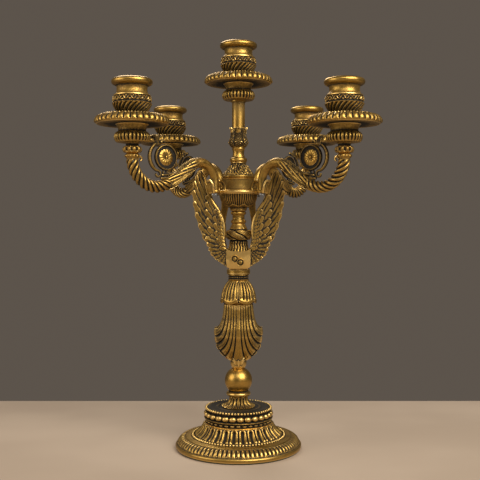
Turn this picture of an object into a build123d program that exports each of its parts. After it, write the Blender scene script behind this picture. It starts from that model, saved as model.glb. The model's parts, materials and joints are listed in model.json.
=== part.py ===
from build123d import *
import math
import os

# Five-light tabletop candelabra in cast brass. Millimetres, +Z up.
# The origin is the middle of the felt's underside, where the foot stands on the table.
# A threaded rod clamps the turned column from the foot to the middle light. Four arms are
# screwed down on the hub plate, and two winged brackets are screwed on the wing block.

# ---- clearances and shared fixings ----
RUNNING_CLEARANCE = 0.1         # radial, spigots that lift out of their sockets
ROD_CLEARANCE = 0.2             # radial, tie rod and screws in their plain bores
ROD_RADIUS = 4.0                # M8 rod and M8 socket screws
NUT_ACROSS_FLATS = 13.0
NUT_HEIGHT = 5.0
ROD_END_PROUD = 1.0             # rod thread showing past each nut
FOOT_SCREW_RADIUS = 2.0         # M4 screws that hold the arms down
FOOT_SCREW_HEAD_RADIUS = 3.6
FOOT_SCREW_HEAD_HEIGHT = 2.4
FOOT_SCREW_DEPTH = 8.0          # thread length inside the arm's leg

# ---- base ----
FELT_THICKNESS = 1.2
FELT_INSET = 1.6                # foot rim standing out past the felt
BASE_RADIUS = 66.0
FLANGE_HEIGHT = 3.8
BORDER_WIDTH = 8.6              # sloping ornamental border
BORDER_RISE = 7.0
RING_WIDTH = 6.4                # smooth ring inside the border
FLARE_BOTTOM_INSET = 2.2        # bead row between the smooth ring and the fluted flare
FLARE_BOTTOM_RISE = 2.4
FOOT_HEIGHT = 25.8
FOOT_WALL = 3.0
FOOT_WEB = 4.0                  # plate that closes the top of the foot round the rod
PLINTH_RADIUS = 35.6
PLINTH_WAIST_INSET = 1.4
PLINTH_HEIGHT = 16.2
PLINTH_FILLET_HEIGHT = 5.4      # height of the ring between the two rows of beads
COLLAR_FOOT_RADIUS = 17.0
COLLAR_TOP_RADIUS = 9.8
COLLAR_HEIGHT = 10.8
WASHER_RADIUS = 12.0
WASHER_THICKNESS = 1.6

# ---- stem ----
BALL_RADIUS = 14.4
BALL_RING_RADIUS = 12.8
BALL_RING_HEIGHT = 5.4
BALL_TOP_FLAT_RADIUS = 5.8
SHELL_TONGUE_RADIUS = 8.4
SHELL_SPREAD = 26.0             # half width of the open shells
SHELL_DEPTH = 19.5              # half depth at the same height
SHELL_TOP_RADIUS = 16.4
SHELL_HEIGHT = 67.4
SHELL_SPREAD_HEIGHT = 42.0      # from the shell stem's foot up to its widest lip
SKIRT_RADIUS = 19.3
SKIRT_TOP_RADIUS = 10.6
SKIRT_HEIGHT = 25.0
SKIRT_LIP_HEIGHT = 5.0
BEADED_COLLAR_RADIUS = 11.0
BEADED_COLLAR_HEIGHT = 6.5

# ---- winged brackets ----
BLOCK_SEAT_RADIUS = 12.4
BLOCK_SEAT_HEIGHT = 5.3
BLOCK_WIDTH = 20.0
BLOCK_DEPTH = 26.0
BLOCK_HEIGHT = 17.7
BRACKET_THICKNESS = 3.0
BRACKET_PLATE_HALF_WIDTH = 9.0
WING_SPREAD = 47.2              # half width over the wings
WING_TIP_OFFSET = 39.8          # sideways place of each wing tip
WING_RISE = 84.0                # wing tip above the top of the bracket's middle plate
WING_GAP = 14.4                 # half the space between the wings beside the lower knop
WING_SCREW_RADIUS = 1.6
WING_SCREW_HEAD_RADIUS = 3.3
WING_SCREW_HEAD_HEIGHT = 1.3
WING_SCREW_DEPTH = 5.5
WING_SCREW_OFFSETS = ((-3.9, 16.4), (1.9, 12.9))   # sideways, above the block's seat

# ---- column above the brackets ----
LOWER_KNOP_RADIUS = 12.8
LOWER_KNOP_HEIGHT = 29.4
RING_NECK_RADIUS = 7.8
RING_NECK_HEIGHT = 13.8
BOWL_RADIUS = 19.5
BOWL_FOOT_RADIUS = 8.6
BOWL_HEIGHT = 17.8
HUB_PLATE_RADIUS = 24.0
HUB_PLATE_THICKNESS = 3.0
HUB_LOBE_MARGIN = 1.2           # plate showing round each arm's foot
DRUM_RADIUS = 16.3
DRUM_HEIGHT = 12.8
CAP_RADIUS = 17.0
CAP_RIM_HEIGHT = 3.0
CAP_HEIGHT = 16.8
BALUSTER_RADIUS = 9.1
BALUSTER_WAIST_RADIUS = 5.9
BALUSTER_HEIGHT = 15.5
UPPER_KNOP_RADIUS = 10.3
UPPER_KNOP_HEIGHT = 20.4
TUBE_RADIUS = 6.7
TUBE_HEIGHT = 28.4

# ---- arms ----
ARM_REACH = 130.6               # column axis to each outer candle axis
LEG_REACH = 31.7                # column axis to the arm's upright leg
ARM_RADIUS = 4.3
ARM_SWELL_RADIUS = 6.6          # thick end under the light
ARM_COLLAR_RADIUS = 7.7
ARM_COLLAR_HEIGHT = 4.8
LEG_HEIGHT = 11.9               # straight part of the leg above the hub plate
ARM_SPAN = ARM_REACH - LEG_REACH
ARCH_RADIUS = 0.186 * ARM_SPAN
SWAN_RADIUS = 0.269 * ARM_SPAN  # the rising bend under the light
SWAN_DROP = SWAN_RADIUS + 5.9   # lowest point of the arm's middle line below its end
ARM_END_RISE = 32.5             # arm's upper end above the hub plate's top
FRONT_ARM_ANGLE = 40.0          # arm's angle from the left-right line
BACK_ARM_ANGLE = 52.0
OUTER_LEAF_REACH = 8.6          # leaf that stands out from the leg's outer side
OUTER_LEAF_HEIGHT = 14.0
LEAF_THICKNESS = 3.0
INNER_LEAF_HOLE_RADIUS = 1.9

# ---- pierced scroll on each arm ----
SCROLL_REACH = LEG_REACH + 0.614 * ARM_SPAN
SCROLL_RISE = 33.4              # medallion's middle above the hub plate's top
SCROLL_THICKNESS = 4.2
MEDALLION_RADIUS = 0.1304 * ARM_SPAN
MEDALLION_RIM = 3.0
MEDALLION_WEB = 1.6
CREST_RADIUS = 1.194 * MEDALLION_RADIUS  # the C-scroll outside the medallion
CREST_OFFSET = 0.31 * MEDALLION_RADIUS
CREST_WIDTH = 3.2
BRANCH_WIDTH = 3.0
ROSETTE_RADIUS = 0.62 * MEDALLION_RADIUS
ROSETTE_HEIGHT = 1.9

# ---- lights ----
BEAD_COLLAR_RADIUS = 9.3
BEAD_COLLAR_HEIGHT = 6.1
BEAD_NECK_RADIUS = 6.2
BEAD_NECK_HEIGHT = 2.8
SOCKET_RADIUS = 17.2            # gadrooned ring under the pan
GADROON_HEIGHT = 10.8
SOCKET_WAIST_RADIUS = 13.1
SOCKET_TOP_RADIUS = 15.8
SOCKET_HEIGHT = 17.6
SOCKET_FLOOR = 4.0
PAN_RADIUS = 35.3
PAN_BORDER_WIDTH = 7.8          # lobed border outside the bead row
PAN_BORDER_HEIGHT = 8.6
PAN_FLOOR = 5.0
PAN_SEAT_RADIUS = 12.8
PAN_SEAT_RISE = 1.8
PAN_SPIGOT_RADIUS = 8.0
PAN_SPIGOT_LENGTH = 6.0
CUP_SPIGOT_RADIUS = 5.1
CUP_SPIGOT_LENGTH = 8.0
CUP_FOOT_RADIUS = 9.6
CUP_BOWL_RADIUS = 19.1
CUP_BOWL_HEIGHT = 22.8
CUP_NECK_HEIGHT = 7.6
CUP_WALL = 3.0
CUP_RIM_RADIUS = 19.5
CUP_HEIGHT = 36.6
CANDLE_HOLE_RADIUS = 11.2
CANDLE_HOLE_DEPTH = 25.3
SCREW_HEAD_RADIUS = 6.6
SCREW_HEAD_HEIGHT = 3.6
SOCKET_SCREW_DEPTH = 9.0        # thread length inside the arm's end

# ---- heights worked out from the pieces, stacked face to face ----
ROD_BORE = ROD_RADIUS + ROD_CLEARANCE
foot_seat = FELT_THICKNESS
plinth_seat = foot_seat + FOOT_HEIGHT
collar_seat = plinth_seat + PLINTH_HEIGHT
ball_seat = collar_seat + COLLAR_HEIGHT
ball_flat_rise = math.sqrt(BALL_RADIUS**2 - BALL_TOP_FLAT_RADIUS**2)
ball_ring_rise = math.sqrt(BALL_RADIUS**2 - (BALL_RING_RADIUS - 3.6) ** 2)
ball_centre = ball_seat + BALL_RING_HEIGHT + ball_ring_rise
shell_seat = ball_centre + ball_flat_rise
skirt_seat = shell_seat + SHELL_HEIGHT
beaded_collar_seat = skirt_seat + SKIRT_HEIGHT
block_seat = beaded_collar_seat + BEADED_COLLAR_HEIGHT
bracket_base = block_seat + BLOCK_SEAT_HEIGHT
lower_knop_seat = bracket_base + BLOCK_HEIGHT
ring_neck_seat = lower_knop_seat + LOWER_KNOP_HEIGHT
bowl_seat = ring_neck_seat + RING_NECK_HEIGHT
hub_plate_seat = bowl_seat + BOWL_HEIGHT
arm_seat = hub_plate_seat + HUB_PLATE_THICKNESS
cap_seat = arm_seat + DRUM_HEIGHT
baluster_seat = cap_seat + CAP_HEIGHT
upper_knop_seat = baluster_seat + BALUSTER_HEIGHT
tube_seat = upper_knop_seat + UPPER_KNOP_HEIGHT
middle_socket_seat = tube_seat + TUBE_HEIGHT
arm_end = arm_seat + ARM_END_RISE
outer_socket_seat = arm_end + BEAD_COLLAR_HEIGHT + BEAD_NECK_HEIGHT
web_underside = plinth_seat - FOOT_WEB
rod_bottom = web_underside - WASHER_THICKNESS - NUT_HEIGHT - ROD_END_PROUD
rod_top = middle_socket_seat + SOCKET_FLOOR + NUT_HEIGHT + ROD_END_PROUD
bracket_plane = BLOCK_DEPTH / 2

ARM_TURNS = {
    "front_left": 180 + FRONT_ARM_ANGLE,
    "front_right": -FRONT_ARM_ANGLE,
    "back_left": 180 - BACK_ARM_ANGLE,
    "back_right": BACK_ARM_ANGLE,
}


# ---- outlines ----
def outline(first, *steps):
    """A closed face: (x, y) adds a straight edge, (mx, my, x, y) an arc through (mx, my)."""
    edges = []
    here = first
    for step in steps:
        there = step[-2:]
        if len(step) == 2:
            edges.append(Line(here, there))
        else:
            edges.append(ThreePointArc(here, step[:2], there))
        here = there
    edges.append(Line(here, first))
    return make_face(edges)


def turned(first, *steps):
    """A turned piece from its (radius, height) outline."""
    return revolve(Plane.XZ * outline(first, *steps), Axis.Z)


def upright(face, thickness):
    """Thicken a face drawn in the X-Z plane to both sides of it."""
    return extrude(Plane.XZ * face, thickness / 2, both=True)


def rod_at(radius, low, high):
    return Pos(0, 0, low) * Cylinder(radius, high - low, align=(Align.CENTER, Align.CENTER, Align.MIN))


def hex_nut(low):
    blank = extrude(RegularPolygon(NUT_ACROSS_FLATS / 2, 6, major_radius=False), NUT_HEIGHT)
    return Pos(0, 0, low) * blank - rod_at(ROD_RADIUS, low, low + NUT_HEIGHT)


# ---- base ----
def felt_pad():
    return rod_at(BASE_RADIUS - FELT_INSET, 0, FELT_THICKNESS)


def base_foot():
    border_outer = BASE_RADIUS - 1.4
    border_inner = border_outer - BORDER_WIDTH
    ring_inner = border_inner - RING_WIDTH
    flare_radius = ring_inner - FLARE_BOTTOM_INSET
    border_low = FLANGE_HEIGHT + 1.2
    border_top = FLANGE_HEIGHT + BORDER_RISE
    flare_low = border_top + FLARE_BOTTOM_RISE
    flare_mid_radius = PLINTH_RADIUS + 0.28 * (flare_radius - PLINTH_RADIUS)
    flare_mid_height = flare_low + 0.42 * (FOOT_HEIGHT - flare_low)
    inner_radius = PLINTH_RADIUS - FOOT_WALL
    foot = turned(
        (ROD_BORE, FOOT_HEIGHT),
        (ROD_BORE, FOOT_HEIGHT - FOOT_WEB),
        (inner_radius, FOOT_HEIGHT - FOOT_WEB),
        (flare_mid_radius - FOOT_WALL, flare_mid_height - FOOT_WALL / 2),
        (flare_radius - FOOT_WALL, flare_low - FOOT_WALL),
        (border_inner, border_top - FOOT_WALL),
        (border_outer - FOOT_WALL, FOOT_WALL - 1),
        (border_outer - FOOT_WALL, 0),
        (BASE_RADIUS, 0),
        (BASE_RADIUS, FLANGE_HEIGHT),
        (border_outer, border_low),
        (border_outer - 2, border_top - 2, border_inner, border_top),
        (ring_inner, border_top + 0.7),
        (flare_radius, flare_low),
        (flare_mid_radius, flare_mid_height, PLINTH_RADIUS, FOOT_HEIGHT),
    )
    return Pos(0, 0, foot_seat) * foot


def base_plinth():
    waist = PLINTH_RADIUS - PLINTH_WAIST_INSET
    plinth = turned(
        (ROD_BORE, 0),
        (waist, 0),
        (waist, PLINTH_FILLET_HEIGHT - 1.6),
        (PLINTH_RADIUS + 0.4, PLINTH_FILLET_HEIGHT - 0.8),
        (PLINTH_RADIUS + 0.4, PLINTH_FILLET_HEIGHT + 0.4),
        (waist, PLINTH_FILLET_HEIGHT + 1.2),
        (waist, PLINTH_HEIGHT - 1.6),
        (waist - 1.6, PLINTH_HEIGHT),
        (ROD_BORE, PLINTH_HEIGHT),
    )
    return Pos(0, 0, plinth_seat) * plinth


def base_neck():
    neck = turned(
        (ROD_BORE, 0),
        (COLLAR_FOOT_RADIUS, 0),
        (COLLAR_TOP_RADIUS + 1.6, 0.32 * COLLAR_HEIGHT, COLLAR_TOP_RADIUS, COLLAR_HEIGHT),
        (ROD_BORE, COLLAR_HEIGHT),
    )
    return Pos(0, 0, collar_seat) * neck


def base_washer():
    washer = rod_at(WASHER_RADIUS, web_underside - WASHER_THICKNESS, web_underside)
    return washer - rod_at(ROD_BORE, web_underside - WASHER_THICKNESS, web_underside)


# ---- stem ----
def ball_knop():
    ring_middle = ball_seat + BALL_RING_HEIGHT / 2
    ring = turned(
        (ROD_BORE, ball_seat),
        (BALL_RING_RADIUS - 3, ball_seat),
        (BALL_RING_RADIUS, ring_middle, BALL_RING_RADIUS - 3.6, ball_seat + BALL_RING_HEIGHT),
        (ROD_BORE, ball_seat + BALL_RING_HEIGHT),
    )
    ball = Pos(0, 0, ball_centre) * Sphere(BALL_RADIUS)
    band = rod_at(BALL_RADIUS, ball_seat + BALL_RING_HEIGHT, shell_seat)
    return ring + (ball & band) - rod_at(ROD_BORE, ball_seat, shell_seat)


def shell_stem():
    lip_side = SHELL_DEPTH / SHELL_SPREAD
    sections = (
        (0, SHELL_TONGUE_RADIUS, 1.0),
        (0.25 * SHELL_SPREAD_HEIGHT, SHELL_TONGUE_RADIUS + 2.3, 0.96),
        (0.55 * SHELL_SPREAD_HEIGHT, 0.64 * SHELL_SPREAD, 0.88),
        (SHELL_SPREAD_HEIGHT, SHELL_SPREAD, lip_side),
        (0.5 * (SHELL_SPREAD_HEIGHT + SHELL_HEIGHT), SHELL_TOP_RADIUS + 2, 0.9),
        (SHELL_HEIGHT, SHELL_TOP_RADIUS, 1.0),
    )
    rings = [Pos(0, 0, shell_seat + rise) * Ellipse(wide, wide * ratio) for rise, wide, ratio in sections]
    return loft(rings) - rod_at(ROD_BORE, shell_seat, skirt_seat)


def bell_skirt():
    skirt = turned(
        (ROD_BORE, 0),
        (SKIRT_RADIUS - 2.2, 0),
        (SKIRT_RADIUS, SKIRT_LIP_HEIGHT),
        (SKIRT_RADIUS - 2.6, 0.62 * SKIRT_HEIGHT, SKIRT_TOP_RADIUS, SKIRT_HEIGHT),
        (ROD_BORE, SKIRT_HEIGHT),
    )
    return Pos(0, 0, skirt_seat) * skirt


def beaded_collar():
    inset = BEADED_COLLAR_RADIUS - 0.8
    collar = turned(
        (ROD_BORE, 0),
        (BEADED_COLLAR_RADIUS, 0),
        (BEADED_COLLAR_RADIUS, 1.4),
        (inset, 1.8),
        (inset, BEADED_COLLAR_HEIGHT - 1.8),
        (BEADED_COLLAR_RADIUS, BEADED_COLLAR_HEIGHT - 1.4),
        (BEADED_COLLAR_RADIUS, BEADED_COLLAR_HEIGHT),
        (ROD_BORE, BEADED_COLLAR_HEIGHT),
    )
    return Pos(0, 0, beaded_collar_seat) * collar


# ---- winged brackets ----
def wing_block():
    seat = turned(
        (ROD_BORE, 0),
        (BEADED_COLLAR_RADIUS, 0),
        (BLOCK_SEAT_RADIUS, BLOCK_SEAT_HEIGHT),
        (ROD_BORE, BLOCK_SEAT_HEIGHT),
    )
    block = Box(BLOCK_WIDTH, BLOCK_DEPTH, BLOCK_HEIGHT, align=(Align.CENTER, Align.CENTER, Align.MIN))
    block -= rod_at(ROD_BORE, 0, BLOCK_HEIGHT)
    whole = Pos(0, 0, block_seat) * seat + Pos(0, 0, bracket_base) * block
    for side, along in wing_screw_places():
        whole -= along * rod_at(WING_SCREW_RADIUS, -WING_SCREW_DEPTH, 0)
    return whole


def wing_screw_places():
    """Where each wing screw meets the block, its axis pointing out of the block."""
    for side in (-1, 1):
        for across, rise in WING_SCREW_OFFSETS:
            face = Plane((across * side * -1, side * bracket_plane, block_seat + rise), z_dir=(0, side, 0))
            yield side, face.location


def wing_bracket(side):
    """One cast bracket: a middle plate with a wing sweeping up at each end."""
    top = BLOCK_HEIGHT
    tip = top + WING_RISE
    half = outline(
        (0, 0.6),
        (BRACKET_PLATE_HALF_WIDTH, 1.2),
        (WING_GAP + 4, 6.2, WING_GAP + 12, top - 1.8),
        (WING_SPREAD - 12, top + 10),
        (WING_SPREAD - 2, top + 42, WING_SPREAD, top + 62),
        (WING_SPREAD - 1, tip - 11, WING_TIP_OFFSET, tip),
        (WING_TIP_OFFSET - 6, tip - 10),
        (WING_GAP + 13, top + 54),
        (WING_GAP + 1.4, top + 32, WING_GAP, top + 18),
        (WING_GAP - 0.8, top + 5, BRACKET_PLATE_HALF_WIDTH - 1, top),
        (0, top),
    )
    plate = extrude(Plane.XZ * half, BRACKET_THICKNESS)
    plate += mirror(plate, Plane.YZ)
    lift = bracket_plane if side < 0 else bracket_plane + BRACKET_THICKNESS
    plate = Pos(0, side * lift, bracket_base) * plate
    for screw_side, along in wing_screw_places():
        if screw_side == side:
            plate -= along * rod_at(WING_SCREW_RADIUS, -1, BRACKET_THICKNESS + 1)
    return plate


def wing_screws():
    screws = []
    for side, along in wing_screw_places():
        shank = rod_at(WING_SCREW_RADIUS, -WING_SCREW_DEPTH, BRACKET_THICKNESS)
        head = turned(
            (0, 0),
            (WING_SCREW_HEAD_RADIUS, 0),
            (WING_SCREW_HEAD_RADIUS, 0.6 * WING_SCREW_HEAD_HEIGHT),
            (WING_SCREW_HEAD_RADIUS - 0.6, WING_SCREW_HEAD_HEIGHT),
            (0, WING_SCREW_HEAD_HEIGHT),
        )
        screws.append(along * (shank + Pos(0, 0, BRACKET_THICKNESS) * head))
    return Compound(children=screws)


# ---- column above the brackets ----
def leaf_knop_lower():
    wide = LOWER_KNOP_RADIUS
    tall = LOWER_KNOP_HEIGHT
    knop = turned(
        (ROD_BORE, 0),
        (wide - 1.6, 0),
        (wide - 4, 0.26 * tall),
        (wide, 0.55 * tall, wide - 2.4, 0.78 * tall),
        (RING_NECK_RADIUS - 1, tall),
        (ROD_BORE, tall),
    )
    return Pos(0, 0, lower_knop_seat) * knop


def ring_neck():
    inset = RING_NECK_RADIUS - 1.4
    tall = RING_NECK_HEIGHT
    neck = turned(
        (ROD_BORE, 0),
        (inset, 0),
        (RING_NECK_RADIUS, 0.15 * tall, inset, 0.33 * tall),
        (inset - 0.6, 0.48 * tall, inset, 0.66 * tall),
        (RING_NECK_RADIUS, 0.86 * tall, inset, tall),
        (ROD_BORE, tall),
    )
    return Pos(0, 0, ring_neck_seat) * neck


def reeded_bowl():
    bowl = turned(
        (ROD_BORE, 0),
        (BOWL_FOOT_RADIUS, 0),
        (BOWL_FOOT_RADIUS + 1, 4.2),
        (BOWL_RADIUS - 2.6, 9.6, BOWL_RADIUS, BOWL_HEIGHT),
        (ROD_BORE, BOWL_HEIGHT),
    )
    return Pos(0, 0, bowl_seat) * bowl


def hub_plate():
    lobe_radius = ARM_RADIUS + HUB_LOBE_MARGIN
    plate = rod_at(HUB_PLATE_RADIUS, hub_plate_seat, arm_seat)
    for turn in ARM_TURNS.values():
        end = Pos(LEG_REACH, 0, 0) * rod_at(lobe_radius, hub_plate_seat, arm_seat)
        run = Pos(LEG_REACH / 2, 0, hub_plate_seat) * Box(
            LEG_REACH, 2 * lobe_radius, HUB_PLATE_THICKNESS, align=(Align.CENTER, Align.CENTER, Align.MIN)
        )
        screw_hole = Pos(LEG_REACH, 0, 0) * rod_at(FOOT_SCREW_RADIUS + ROD_CLEARANCE, hub_plate_seat, arm_seat)
        plate += Rot(0, 0, turn) * (end + run)
        plate -= Rot(0, 0, turn) * screw_hole
    return plate - rod_at(ROD_BORE, hub_plate_seat, arm_seat)


def hub_drum():
    return rod_at(DRUM_RADIUS, arm_seat, cap_seat) - rod_at(ROD_BORE, arm_seat, cap_seat)


def hub_cap():
    cap = turned(
        (ROD_BORE, 0),
        (CAP_RADIUS - 1, 0),
        (CAP_RADIUS - 1, 0.8),
        (CAP_RADIUS, 0.5 * CAP_RIM_HEIGHT, CAP_RADIUS - 0.4, CAP_RIM_HEIGHT),
        (BALUSTER_RADIUS + 3.4, 0.52 * CAP_HEIGHT, BALUSTER_RADIUS - 1, CAP_HEIGHT),
        (ROD_BORE, CAP_HEIGHT),
    )
    return Pos(0, 0, cap_seat) * cap


def upper_baluster():
    wide = BALUSTER_RADIUS
    tall = BALUSTER_HEIGHT
    baluster = turned(
        (ROD_BORE, 0),
        (wide - 1.4, 0),
        (wide, 0.16 * tall, wide - 1.6, 0.32 * tall),
        (BALUSTER_WAIST_RADIUS, 0.6 * tall, TUBE_RADIUS - 0.4, 0.94 * tall),
        (TUBE_RADIUS - 0.4, tall),
        (ROD_BORE, tall),
    )
    return Pos(0, 0, baluster_seat) * baluster


def leaf_knop_upper():
    wide = UPPER_KNOP_RADIUS
    tall = UPPER_KNOP_HEIGHT
    knop = turned(
        (ROD_BORE, 0),
        (TUBE_RADIUS, 0),
        (wide, 0.26 * tall, wide - 1.9, 0.58 * tall),
        (wide - 1.7, 0.94 * tall),
        (wide - 2.4, tall),
        (ROD_BORE, tall),
    )
    return Pos(0, 0, upper_knop_seat) * knop


def center_tube():
    return rod_at(TUBE_RADIUS, tube_seat, middle_socket_seat) - rod_at(ROD_BORE, tube_seat, middle_socket_seat)


def tie_rod():
    return rod_at(ROD_RADIUS, rod_bottom, rod_top)


# ---- arms, drawn in the X-Z plane and then turned about the column ----
def arm_slope():
    """Downward angle of the straight between the arch and the rising bend, in degrees."""
    run = ARM_REACH - SWAN_RADIUS - LEG_REACH - ARCH_RADIUS
    rise = arm_swan_centre() - arm_seat - LEG_HEIGHT
    span = math.hypot(run, rise)
    lean = math.degrees(math.atan2(rise, run))
    return 90 - lean - math.degrees(math.acos((ARCH_RADIUS + SWAN_RADIUS) / span))


def arm_swan_centre():
    return arm_end - SWAN_DROP + SWAN_RADIUS + 1.1


def arm():
    slope = arm_slope()
    leg = Line((LEG_REACH, arm_seat), (LEG_REACH, arm_seat + LEG_HEIGHT))
    arch = JernArc(leg @ 1, leg % 1, ARCH_RADIUS, -(90 + slope))
    span = math.hypot(ARM_REACH - SWAN_RADIUS - LEG_REACH - ARCH_RADIUS, arm_swan_centre() - arm_seat - LEG_HEIGHT)
    straight_length = math.sqrt(span**2 - (ARCH_RADIUS + SWAN_RADIUS) ** 2)
    straight = Line(arch @ 1, (arch @ 1) + (arch % 1) * straight_length)
    dip = JernArc(straight @ 1, straight % 1, SWAN_RADIUS, slope)
    rise = JernArc(dip @ 1, dip % 1, SWAN_RADIUS, 90)
    thin_path = Plane.XZ * Wire([leg, arch, straight, dip])
    thick_path = Plane.XZ * rise
    foot = Plane((LEG_REACH, 0, arm_seat))
    thin_end = Plane(thick_path @ 0, z_dir=thick_path % 0)
    thick_end = Plane(thick_path @ 1, z_dir=thick_path % 1)
    body = sweep(foot * Circle(ARM_RADIUS), path=thin_path)
    body += sweep([thin_end * Circle(ARM_RADIUS), thick_end * Circle(ARM_SWELL_RADIUS)], path=thick_path, multisection=True)
    collar = turned(
        (0, 0),
        (ARM_SWELL_RADIUS, 0),
        (ARM_COLLAR_RADIUS, 0.4 * ARM_COLLAR_HEIGHT),
        (ARM_COLLAR_RADIUS, arm_end - arm_swan_centre()),
        (0, arm_end - arm_swan_centre()),
    )
    body += Pos(ARM_REACH, 0, arm_swan_centre()) * collar
    body += outer_leaf()
    body -= Pos(ARM_REACH, 0, 0) * rod_at(ROD_RADIUS, arm_end - SOCKET_SCREW_DEPTH - 1, arm_end)
    return body - Pos(LEG_REACH, 0, 0) * rod_at(FOOT_SCREW_RADIUS, arm_seat, arm_seat + FOOT_SCREW_DEPTH + 1)


def outer_leaf():
    """Leaf on the outer side of the leg, standing on the hub plate's lobe."""
    side = LEG_REACH + ARM_RADIUS
    leaf = outline(
        (side - 1.5, arm_seat),
        (side + 0.8, arm_seat),
        (LEG_REACH + OUTER_LEAF_REACH, arm_seat + 0.45 * OUTER_LEAF_HEIGHT, side - 0.4, arm_seat + OUTER_LEAF_HEIGHT),
        (side - 1.5, arm_seat + OUTER_LEAF_HEIGHT),
    )
    return upright(leaf, LEAF_THICKNESS)


def inner_leaf():
    """Pierced leaf bracket between the drum and the leg."""
    leaf = outline(
        (DRUM_RADIUS - 1, arm_seat),
        (LEG_REACH, arm_seat),
        (LEG_REACH, arm_seat + OUTER_LEAF_HEIGHT),
        (LEG_REACH - ARM_RADIUS - 3, arm_seat + 0.72 * OUTER_LEAF_HEIGHT, DRUM_RADIUS - 1, arm_seat + 0.8 * DRUM_HEIGHT),
    )
    middle = (DRUM_RADIUS + LEG_REACH - ARM_RADIUS) / 2
    hole = Plane((middle, 0, arm_seat + 0.36 * OUTER_LEAF_HEIGHT), z_dir=(0, 1, 0)).location
    plate = upright(leaf, LEAF_THICKNESS) - hole * Cylinder(INNER_LEAF_HOLE_RADIUS, 2 * LEAF_THICKNESS)
    return plate - hub_drum() - Pos(LEG_REACH, 0, 0) * rod_at(ARM_RADIUS, arm_seat - 1, arm_end)


def medallion_centre():
    return Plane((SCROLL_REACH, 0, arm_seat + SCROLL_RISE), z_dir=(0, -1, 0), x_dir=(1, 0, 0))


def ring_face(outer, inner):
    return Circle(outer) - Circle(inner)


def scroll(arm_body):
    """Pierced scroll casting: a medallion ring with its web, a C-scroll and a branch to the arm."""
    ring = extrude(ring_face(MEDALLION_RADIUS, MEDALLION_RADIUS - MEDALLION_RIM), SCROLL_THICKNESS / 2, both=True)
    web = extrude(Circle(MEDALLION_RADIUS - MEDALLION_RIM + 0.5), MEDALLION_WEB / 2, both=True)
    crest_face = Pos(CREST_OFFSET, 0) * ring_face(CREST_RADIUS, CREST_RADIUS - CREST_WIDTH)
    crest_face -= Pos(-1.3 * CREST_RADIUS, 0) * Rectangle(3 * CREST_RADIUS, 4 * CREST_RADIUS)
    crest = extrude(crest_face, 0.4 * SCROLL_THICKNESS, both=True)
    drop = -(MEDALLION_RADIUS + 2.2)
    branch_face = outline(
        (CREST_OFFSET + 5.6, drop - 2.4),
        (-2, drop + 1.0 - BRANCH_WIDTH, -2.2 * MEDALLION_RADIUS, drop - 1.2 - BRANCH_WIDTH),
        (-2.2 * MEDALLION_RADIUS, drop - 1.2),
        (-2, drop + 1.0, CREST_OFFSET + 7.4, drop + 0.4),
    )
    branch = extrude(branch_face, 0.35 * SCROLL_THICKNESS, both=True)
    link_face = Pos(1.0, drop + 0.6) * Rectangle(BRANCH_WIDTH, 4.4)
    link = extrude(link_face, 0.35 * SCROLL_THICKNESS, both=True)
    casting = medallion_centre() * (ring + web + crest + branch + link)
    casting -= arm_body
    return max(casting.solids(), key=lambda piece: piece.volume)


def rosettes():
    domes = []
    for turn in ARM_TURNS.values():
        for side in (-1, 1):
            dome = turned(
                (0, MEDALLION_WEB / 2),
                (ROSETTE_RADIUS, MEDALLION_WEB / 2),
                (ROSETTE_RADIUS - 0.8, MEDALLION_WEB / 2 + 0.6 * ROSETTE_HEIGHT),
                (0.45 * ROSETTE_RADIUS, MEDALLION_WEB / 2 + 0.7 * ROSETTE_HEIGHT),
                (0, MEDALLION_WEB / 2 + ROSETTE_HEIGHT),
            )
            face = Plane((SCROLL_REACH, 0, arm_seat + SCROLL_RISE), z_dir=(0, side, 0)).location
            domes.append(Rot(0, 0, turn) * (face * dome))
    return Compound(children=domes)


def foot_leaves():
    return Compound(children=[Rot(0, 0, turn) * inner_leaf() for turn in ARM_TURNS.values()])


def arm_screws():
    screws = []
    for turn in ARM_TURNS.values():
        shank = rod_at(FOOT_SCREW_RADIUS, hub_plate_seat, arm_seat + FOOT_SCREW_DEPTH)
        head = rod_at(FOOT_SCREW_HEAD_RADIUS, hub_plate_seat - FOOT_SCREW_HEAD_HEIGHT, hub_plate_seat)
        screws.append(Rot(0, 0, turn) * (Pos(LEG_REACH, 0, 0) * (shank + head)))
    return Compound(children=screws)


def socket_screws():
    screws = []
    floor = outer_socket_seat + SOCKET_FLOOR
    for turn in ARM_TURNS.values():
        shank = rod_at(ROD_RADIUS, arm_end - SOCKET_SCREW_DEPTH, floor)
        head = rod_at(SCREW_HEAD_RADIUS, floor, floor + SCREW_HEAD_HEIGHT)
        screws.append(Rot(0, 0, turn) * (Pos(ARM_REACH, 0, 0) * (shank + head)))
    return Compound(children=screws)


# ---- one light, drawn on the Z axis from its seat upwards ----
def bead_collar():
    middle = BEAD_COLLAR_HEIGHT / 2
    return turned(
        (ROD_BORE, 0),
        (BEAD_COLLAR_RADIUS - 1.2, 0),
        (BEAD_COLLAR_RADIUS, middle, BEAD_COLLAR_RADIUS - 1.6, BEAD_COLLAR_HEIGHT),
        (BEAD_NECK_RADIUS, BEAD_COLLAR_HEIGHT),
        (BEAD_NECK_RADIUS, BEAD_COLLAR_HEIGHT + BEAD_NECK_HEIGHT),
        (ROD_BORE, BEAD_COLLAR_HEIGHT + BEAD_NECK_HEIGHT),
    )


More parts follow.
